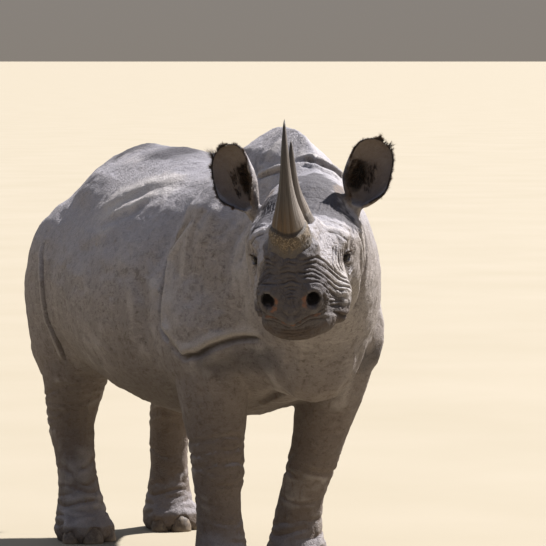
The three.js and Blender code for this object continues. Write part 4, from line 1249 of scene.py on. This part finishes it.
# %% Relief of the hide
net = node(tree, "ShaderNodeMapRange", {"Value": scales, "From Min": 0.0, "From Max": 0.22},
           interpolation_type="SMOOTHSTEP").outputs["Result"]
coarse = node(tree, "ShaderNodeBump", {"Height": mottle, "Strength": 0.75,
                                       "Distance": 0.008}).outputs["Normal"]
firm = node(tree, "ShaderNodeMapRange", {"Value": patches, "From Min": 0.35, "From Max": 0.65, "To Min": 0.25,
                                         "To Max": 0.75}).outputs["Result"]
cracked = node(tree, "ShaderNodeBump", {"Height": net, "Normal": coarse, "Strength": firm,
                                        "Distance": 0.0016}).outputs["Normal"]
grained = node(tree, "ShaderNodeBump", {"Height": grain, "Normal": cracked, "Strength": 0.5,
                                        "Distance": 0.0022}).outputs["Normal"]
feed(shader, {"Base Color": colour, "Normal": grained, "Roughness": 0.82, "Specular IOR Level": 0.3})
skin.data.materials.clear()
skin.data.materials.append(hide)
print("hide with its relief:", len(tree.nodes), "nodes")

# %% [markdown]
# ### Horn keratin
# The horn is bare keratin, like hoof or fingernail. Its fibres run along it, so the pattern is
# stretched along the horn. It is dark and rubbed smooth at the tip, brown to ochre lower down where
# mud stains it, black in the groove, and a pale speckled crust where it leaves the skin.

# %% Horn finish
keratin, tree, shader, place = finish_named("keratin_horn_worn")
along = node(tree, "ShaderNodeAttribute", attribute_name="grain").outputs["Vector"]
mark = {name: node(tree, "ShaderNodeAttribute", attribute_name=name).outputs["Fac"]
        for name in ("height", "crust", "groove", "foot")}
FIBRE_MM = 4
# How far a point lies to the animal's left, where the horn is painted paler as sunlight.
left = node(tree, "ShaderNodeSeparateXYZ", {0: along}).outputs["X"]
fibres = node(tree, "ShaderNodeTexNoise", {"Vector": along, "Scale": 1000 / FIBRE_MM,
                                           "Detail": 3.0}).outputs["Fac"]
bands = node(tree, "ShaderNodeTexNoise", {"Vector": along, "Scale": 48.0, "Detail": 2.0}).outputs["Fac"]
speckle = node(tree, "ShaderNodeTexNoise", {"Vector": place, "Scale": 190.0, "Detail": 5.0,
                                            "Roughness": 0.8}).outputs["Fac"]
crumbs = node(tree, "ShaderNodeMapRange", {"Value": speckle, "From Min": 0.5,
                                           "From Max": 0.6}).outputs["Result"]
crumbs = node(tree, "ShaderNodeMath", {0: crumbs, 1: mark["crust"]}, operation="MULTIPLY").outputs["Value"]
colour = layered(tree, linear("#544029"), [
    (mark["height"], 0.2, 0.45, 0.9, "#352e2a"),
    (mark["height"], 0.45, 0.9, 0.8, "#252222"),
    (bands, 0.42, 0.66, 0.5, "#5d554f"),
    (fibres, 0.48, 0.64, 0.75, "#1c1714"),
    # Painted sunlight: the horn is paler on the animal's left, the side the key light comes from.
    (left, 0.018, 0.05, 0.6, "#857d76"),
    (mark["crust"], 0.2, 1.0, 0.8, "#554839"),
    (crumbs, 0.1, 0.9, 0.65, "#a8967c"),
    (mark["groove"], 0.2, 0.9, 0.75, "#241d1a"),
    (mark["foot"], 0.0, 1.0, 0.9, "#57504b"),
], "SMOOTHSTEP")
lines = node(tree, "ShaderNodeBump", {"Height": fibres, "Strength": 0.9, "Distance": 0.002}).outputs["Normal"]
pits = node(tree, "ShaderNodeMath", {0: speckle, 1: mark["crust"]}, operation="MULTIPLY").outputs["Value"]
lines = node(tree, "ShaderNodeBump", {"Height": pits, "Normal": lines, "Strength": 0.9,
                                      "Distance": 0.005}).outputs["Normal"]
rough = node(tree, "ShaderNodeMapRange", {"Value": mark["height"], "From Min": 0.1, "From Max": 0.7,
                                          "To Min": 0.8, "To Max": 0.48}).outputs["Result"]
feed(shader, {"Base Color": colour, "Normal": lines, "Roughness": rough})
for piece in horns:
    piece.data.materials.append(keratin)
print("horn finish:", len(tree.nodes), "nodes")

# %% [markdown]
# ### Wet eye, and nail
# The eye has a clear wet coat over a dark brown iris, so that it catches a small sharp light. The
# nails are the same keratin as the horns, but dull, dusty and ridged.

# %% Eye and nail finishes
eye_wet, tree, shader, place = finish_named("eye_wet_dark_brown")
angle = node(tree, "ShaderNodeAttribute", attribute_name="from_sight").outputs["Fac"]
rays = node(tree, "ShaderNodeTexNoise", {"Vector": place, "Scale": 700.0, "Detail": 2.0}).outputs["Fac"]
# The pupil, the iris with its rays, the ring round the iris, and the white, each from its own angle.
colour = layered(tree, linear("#040302"), [
    (angle, 13, 17, 1.0, "#160d08"),
    (rays, 0.45, 0.6, 0.3, "#26170d"),
    (angle, 34, 39, 1.0, "#0d0807"),
    (angle, 55, 75, 0.6, "#2a1d18"),
])
feed(shader, {"Base Color": colour, "Roughness": 0.12, "Specular IOR Level": 0.12, "Coat Weight": 0.08,
              "Coat Roughness": 0.03})
for piece in eyeballs:
    piece.data.materials.append(eye_wet)

nail_dull, tree, shader, place = finish_named("keratin_nail_dusty")
ridged = node(tree, "ShaderNodeMapping", {"Vector": place, "Scale": (1.0, 1.0, 0.12)}).outputs["Vector"]
ridges = node(tree, "ShaderNodeTexNoise", {"Vector": ridged, "Scale": 260.0, "Detail": 2.0}).outputs["Fac"]
dust = node(tree, "ShaderNodeTexNoise", {"Vector": place, "Scale": 60.0, "Detail": 4.0}).outputs["Fac"]
height = node(tree, "ShaderNodeSeparateXYZ", {0: place}).outputs["Z"]
colour = layered(tree, linear("#5b4f45"), [
    (ridges, 0.48, 0.65, 0.6, "#3b322b"),
    (dust, 0.45, 0.65, 0.6, "#857664"),
    (height, 0.02, 0.0, 0.7, "#8f7f69"),
])
lines = node(tree, "ShaderNodeBump", {"Height": ridges, "Strength": 0.5, "Distance": 0.001}).outputs["Normal"]
feed(shader, {"Base Color": colour, "Normal": lines, "Roughness": 0.6})
for piece in toenails.values():
    piece.data.materials.append(nail_dull)
print("finishes", [m.name for m in bpy.data.materials][-5:])

# %% [markdown]
# ## Bristles
# The animal is nearly bare. Stiff dark bristles edge its ears, line the ear's hollow, stand on the
# lids and fringe the end of the tail. A root has a place, a direction and a length. Geometry Nodes
# then sets a bent, tapered blade on each root, because the same blade serves hundreds of times.

# %% A tree that grows a bristle on each root
BRISTLE_INPUTS = [
    ("Geometry", "NodeSocketGeometry", None),
    ("Thickness", "NodeSocketFloat", 0.0008),
    ("Bend", "NodeSocketFloat", 0.25),
    ("Spread", "NodeSocketFloat", 0.3),
    ("Seed", "NodeSocketInt", 5),
    ("Finish", "NodeSocketMaterial", None),
]


def bristle_tree():
    """The tree, and the identifier of each of its inputs."""
    tree = bpy.data.node_groups.new("bristles", "GeometryNodeTree")
    sockets = {}
    for name, kind, value in BRISTLE_INPUTS:
        socket = tree.interface.new_socket(name, in_out="INPUT", socket_type=kind)
        sockets[name] = socket.identifier
        if value is not None:
            socket.default_value = value
    tree.interface.new_socket("Geometry", in_out="OUTPUT", socket_type="NodeSocketGeometry")
    given = tree.nodes.new("NodeGroupInput").outputs
    blade = node(tree, "GeometryNodeMeshCone", {"Vertices": 3, "Side Segments": 4, "Radius Top": 0.05,
                                                "Radius Bottom": 1.0, "Depth": 1.0}).outputs["Mesh"]
    place = node(tree, "GeometryNodeInputPosition").outputs["Position"]
    blade = node(tree, "GeometryNodeStoreNamedAttribute", {"Geometry": blade, "Name": "blade",
                                                           "Value": place},
                 data_type="FLOAT_VECTOR", domain="POINT").outputs["Geometry"]
    rise = node(tree, "ShaderNodeSeparateXYZ", {0: place}).outputs["Z"]
    curve = node(tree, "ShaderNodeMath", {0: rise, 1: 2.0}, operation="POWER").outputs["Value"]
    length, grow = (
        node(tree, "GeometryNodeInputNamedAttribute", {"Name": name}, data_type=kind).outputs["Attribute"]
        for name, kind in (("length", "FLOAT"), ("grow", "FLOAT_VECTOR")))
    aim = node(tree, "FunctionNodeAlignRotationToVector", {"Vector": grow}, axis="Z").outputs["Rotation"]
    back = node(tree, "ShaderNodeMath", {0: given["Spread"], 1: -1.0}, operation="MULTIPLY").outputs["Value"]
    least = node(tree, "ShaderNodeCombineXYZ", {"X": back, "Y": back, "Z": -3.14}).outputs["Vector"]
    most = node(tree, "ShaderNodeCombineXYZ", {"X": given["Spread"], "Y": given["Spread"],
                                               "Z": 3.14}).outputs["Vector"]
    tip = node(tree, "FunctionNodeRandomValue", {"Min": least, "Max": most, "Seed": given["Seed"]},
               data_type="FLOAT_VECTOR").outputs["Value"]
    tip = node(tree, "FunctionNodeEulerToRotation", {"Euler": tip}).outputs["Rotation"]
    aim = node(tree, "FunctionNodeRotateRotation", {"Rotation": aim, "Rotate By": tip},
               rotation_space="LOCAL").outputs["Rotation"]
    size = node(tree, "ShaderNodeCombineXYZ", {"X": given["Thickness"], "Y": given["Thickness"],
                                               "Z": length}).outputs["Vector"]
    bend = node(tree, "ShaderNodeMath", {0: curve, 1: given["Bend"]}, operation="MULTIPLY").outputs["Value"]
    offset = node(tree, "ShaderNodeCombineXYZ", {"X": bend}).outputs["Vector"]
    bent = node(tree, "GeometryNodeSetPosition", {"Geometry": blade, "Offset": offset}).outputs["Geometry"]
    grown = node(tree, "GeometryNodeInstanceOnPoints", {"Points": given["Geometry"], "Instance": bent,
                                                        "Rotation": aim, "Scale": size}).outputs["Instances"]
    real = node(tree, "GeometryNodeRealizeInstances", {"Geometry": grown}).outputs["Geometry"]
    done = node(tree, "GeometryNodeSetMaterial", {"Geometry": real, "Material": given["Finish"]})
    node(tree, "NodeGroupOutput", {"Geometry": done.outputs["Geometry"]})
    return tree, sockets


GROW, GROW_SOCKETS = bristle_tree()
print("bristle tree:", len(GROW.nodes), "nodes")

# %% Bristle finish
bristle_black, tree, shader, place = finish_named("hair_bristle_black")
on_blade = node(tree, "ShaderNodeAttribute", attribute_name="blade").outputs["Vector"]
towards_tip = node(tree, "ShaderNodeSeparateXYZ", {0: on_blade}).outputs["Z"]
vary = node(tree, "ShaderNodeTexNoise", {"Vector": place, "Scale": 90.0, "Detail": 2.0}).outputs["Fac"]
colour = layered(tree, linear("#1d1512"), [
    (vary, 0.5, 0.62, 0.6, "#4a3524"),
    (towards_tip, 0.5, 1.0, 0.6, "#80603c"),
])
feed(shader, {"Base Color": colour, "Roughness": 0.5})
print("bristle finish:", len(tree.nodes), "nodes")

# %% Grow bristles from roots
BLADE_ON_SHEET = 0.003


def bristles(name, roots, grow, length, bake_place, thickness, bend, spread, seed):
    """Roots in metres, directions, lengths in metres, and each root's place on the skin's unwrap."""
    piece = mesh_object(name, roots, [])
    write(piece, "grow", grow)
    write(piece, "length", length)
    write(piece, "bake_place", np.column_stack([bake_place, np.zeros(len(roots))]))
    modifier = piece.modifiers.new("grow", "NODES")
    modifier.node_group = GROW
    for label, value in (("Thickness", thickness), ("Bend", bend), ("Spread", spread), ("Seed", seed),
                         ("Finish", bristle_black)):
        modifier[GROW_SOCKETS[label]] = value
    mesh = settle(piece)
    corners = read(mesh.loops, "vertex_index", 1, np.int32).ravel()
    blade, place = (read(mesh.attributes[label].data, "vector", 3) for label in ("blade", "bake_place"))
    spot = place[:, :2] + BLADE_ON_SHEET * (blade[:, [0, 2]] * (0.5, 1) + (0.5, 0) - 0.5)
    mesh.uv_layers.new(name="OFBake").data.foreach_set("uv", spot[corners].astype(np.float32).ravel())
    mesh.polygons.foreach_set("use_smooth", [True] * len(mesh.polygons))
    mesh.update()
    print(name, len(roots), "bristles,", len(mesh.polygons), "faces")
    return piece


# %% Bristles of the ears
def ear_roots(seat, sheet, count, seed):
    """Roots along the rim, longest in a tuft on the outer side of the tip, and some in the hollow."""
    dice = np.random.default_rng(seed)
    walk = dice.uniform(0, 1, count)
    up, down = walk < 0.42, walk > 0.58
    edge = np.where(up, -1.0, np.where(down, 1.0, (walk - 0.5) / 0.08))
    share = np.clip(np.where(up, walk / 0.42, np.where(down, (1 - walk) / 0.42, 1)), 0.12, 1)
    outer = edge * seat[0]
    root = ear_leaf(seat, share, edge, EAR_WALL * dice.uniform(0.3, 0.7, count))
    turn = ear_matrix(seat)[0]
    middle = ear_leaf(seat, np.array([0.5]), np.array([0.0]), EAR_WALL / 2)[0] - turn[:, 1] * 0.03
    outward = root - middle
    outward = units(outward - (outward @ turn[:, 1])[:, None] * turn[:, 1] * 0.6)
    grow = outward + turn[:, 2] * 0.35 + dice.normal(0, 0.16, (count, 3))
    clump = ramp(np.sin(share * 46 + edge * 3) + noise(root, 0.006, seed) * 0.8, 0.1, 1.0)
    tuft = ramp(share, 0.72, 0.95) * ramp(outer, -0.2, 0.6)
    length = (7 + 5 * clump + tuft * (8 + 22 * clump)) * dice.uniform(0.6, 1.15, count) * MM
    unwrap = np.column_stack([sheet * 0.5 + 0.05 + 0.2 * (edge + 1), 0.05 + 0.4 * share])
    return root - outward * 0.004, grow, length, unwrap


def hollow_roots(seat, sheet, count, seed):
    """Roots inside the ear, low down and towards its outer side."""
    dice = np.random.default_rng(seed)
    share = dice.uniform(0.2, 0.6, count)
    across = -seat[0] * dice.uniform(-0.35, 0.85, count)
    root = ear_leaf(seat, share, across, EAR_WALL - 0.4)
    turn = ear_matrix(seat)[0]
    centre = ear_leaf(seat, np.array([0.36]), np.array([-seat[0] * 0.25]), EAR_WALL)[0]
    inward = units(centre - turn[:, 1] * 0.03 - root)
    grow = inward * 0.5 - turn[:, 1] * 0.35 + turn[:, 2] * 0.9 + dice.normal(0, 0.12, (count, 3))
    length = dice.uniform(14, 30, count) * MM
    unwrap = np.column_stack([sheet * 0.5 + 0.05 + 0.2 * (across + 1), 0.5 + 0.4 * share])
    return root, grow, length, unwrap


RIM_BRISTLES, HOLLOW_BRISTLES, TAIL_BRISTLES, LASHES = 1900, 420, 900, 90
coats = []
for sheet, seat in enumerate(EAR_SEATS):
    side_name = "left" if seat[0] > 0 else "right"
    rim = ear_roots(seat, sheet, RIM_BRISTLES, 21 + sheet)
    hollow = hollow_roots(seat, sheet, HOLLOW_BRISTLES, 31 + sheet)
    joint = [np.concatenate(pair) for pair in zip(rim, hollow)]
    coats.append(bristles(f"ear_bristles_{side_name}", *joint, thickness=0.001, bend=6.0,
                          spread=0.22, seed=3))
print("coats so far:", [piece.name for piece in coats])

# %% Bristles of the tail and the lids
def tail_roots(count, seed):
    """Roots on both edges of the tail's end, none so long that it would reach the ground."""
    dice = np.random.default_rng(seed)
    share = dice.uniform(0.70, 0.995, count)
    edge = np.where(dice.uniform(0, 1, count) < 0.5, 1.0, -1.0)
    index = share * (len(tail_line) - 1)
    middle = np.stack([np.interp(index, np.arange(len(tail_line)), tail_line[:, k]) for k in range(3)], 1)
    radius = np.interp(index, np.arange(len(tail_line)), tail_radii)
    around = edge * math.pi / 2 + dice.normal(0, 0.4, count)
    side = np.column_stack([np.cos(around), np.sin(around), np.zeros(count)])
    root = middle + side * radius[:, None] * 0.8
    grow = side * 0.30 + np.array([0, 0, -1.0]) + dice.normal(0, 0.06, (count, 3))
    length = dice.uniform(55, 125, count) * MM * (0.6 + 0.4 * share)
    length = np.minimum(length, (root[:, 2] - 0.5))
    unwrap = np.column_stack([around % (2 * math.pi) / (2 * math.pi), (share - 0.7) / 0.3])
    return root, grow, length, 0.05 + 0.9 * unwrap


def lash_roots(side, sheet, count, seed):
    """Roots on the edge of the upper lid."""
    dice = np.random.default_rng(seed)
    centre, gaze, along, across = eye_axes(side)
    turn = np.radians(dice.uniform(15, 165, count))
    u, v = LID_HALF[0] * 1.08 * np.cos(turn), LID_HALF[1] * 1.08 * np.sin(turn) * upper_side(side)
    away = np.hypot(u, v)[:, None]
    flat = (u[:, None] * along + v[:, None] * across) / away
    ray = np.cos(away) * gaze + np.sin(away) * flat
    root = centre + ray * 26 * MM
    grow = ray + flat * 0.4 + dice.normal(0, 0.1, (count, 3)) - np.array([0, 0, 0.35])
    length = dice.uniform(9, 17, count) * MM
    unwrap = np.column_stack([sheet * 0.5 + 0.05 + 0.4 * turn / math.pi, np.full(count, 0.5)])
    return root, grow, length, unwrap


tail = tail_roots(TAIL_BRISTLES, 41)
coats.append(bristles("tail_bristles", *tail, thickness=0.0011, bend=9.0, spread=0.1, seed=4))
left, right = (lash_roots(side, sheet, LASHES, 51 + sheet) for sheet, side in enumerate(SIDES))
lashes = [np.concatenate(pair) for pair in zip(left, right)]
coats.append(bristles("eye_lashes", *lashes, thickness=0.0006, bend=4.0, spread=0.1, seed=6))
print("coats:", [piece.name for piece in coats])

# %% [markdown]
# ## The stage
# A wide pale floor and a dome that is brighter and cooler overhead give soft studio light. The key
# light comes from high on the animal's left and a little behind it, and a soft one from above.

# %% Floor, sky and sun
FLOOR_RADIUS, FLOOR_SIDES = 4000, 64
turn = np.linspace(0, 2 * math.pi, FLOOR_SIDES, endpoint=False)
rim = np.stack([np.cos(turn), np.sin(turn), 0 * turn], 1) * FLOOR_RADIUS
floor = mesh_object("floor", rim, [list(range(FLOOR_SIDES))])
sand, tree, shader, place = finish_named("plaster_floor_pale")
clouds = node(tree, "ShaderNodeTexNoise", {"Vector": place, "Scale": 0.8, "Detail": 3.0}).outputs["Fac"]
colour = node(tree, "ShaderNodeMix", {"Factor": clouds, "A": linear("#7f7663"), "B": linear("#898070")},
              data_type="RGBA").outputs["Result"]
feed(shader, {"Base Color": colour, "Roughness": 0.95})
floor.data.materials.append(sand)
floor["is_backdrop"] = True

world = bpy.data.worlds.new("pale_room")
bpy.context.scene.world = world
world.use_nodes = True
tree = world.node_tree
way = node(tree, "ShaderNodeTexCoord").outputs["Generated"]
aloft = node(tree, "ShaderNodeSeparateXYZ", {0: way}).outputs["Z"]
rise = node(tree, "ShaderNodeMapRange", {"Value": aloft, "From Min": 0.0, "From Max": 0.6}).outputs["Result"]
glow = node(tree, "ShaderNodeMix", {"Factor": rise, "A": linear("#b9b0a6"), "B": linear("#cfddfb")},
            data_type="RGBA").outputs["Result"]
feed(tree.nodes["Background"], {"Color": glow, "Strength": 0.5})

# Each light: (where it comes from, energy, how many degrees wide, tint).
LIGHTS = {"key_light": ((0.60, 0.18, 0.78), 13.0, 1.5, (1.0, 0.97, 0.945)),
          "top_light": ((-0.10, 0.38, 0.92), 0.4, 35, (0.88, 0.94, 1.0))}
for name, (come_from, energy, softness, tint) in LIGHTS.items():
    lamp = bpy.data.objects.new(name, bpy.data.lights.new(name, "SUN"))
    lamp.data.energy, lamp.data.angle, lamp.data.color = energy, math.radians(softness), tint
    lamp.rotation_euler = Vector(come_from).to_track_quat("Z", "Y").to_euler()
    bpy.context.scene.collection.objects.link(lamp)
bpy.context.scene.view_settings.view_transform = "Standard"
print("lights:", list(LIGHTS), "on a floor of", FLOOR_RADIUS, "m radius")

# %% Fix every piece to the frame
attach(skin, "root")
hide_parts(*FLESH, "ear_left", "ear_right", "tail")
for piece, name in zip(horns, HORNS):
    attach(piece, "root")
    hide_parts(name)
for piece, name in zip(eyeballs, ("eye_left", "eye_right")):
    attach(piece, "root")
    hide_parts(name)
for name, piece in toenails.items():
    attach(piece, "root")
    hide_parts(name)
for piece in coats:
    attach(piece, "root")
print("pieces:", 1 + len(horns) + len(eyeballs) + len(toenails) + len(coats))

# %% Sizes
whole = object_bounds()
sizes = {"cad": [list(corner) for corner in cad_box], "visual": [list(corner) for corner in whole]}
print("visual box", [round(v, 3) for c in whole for v in c])
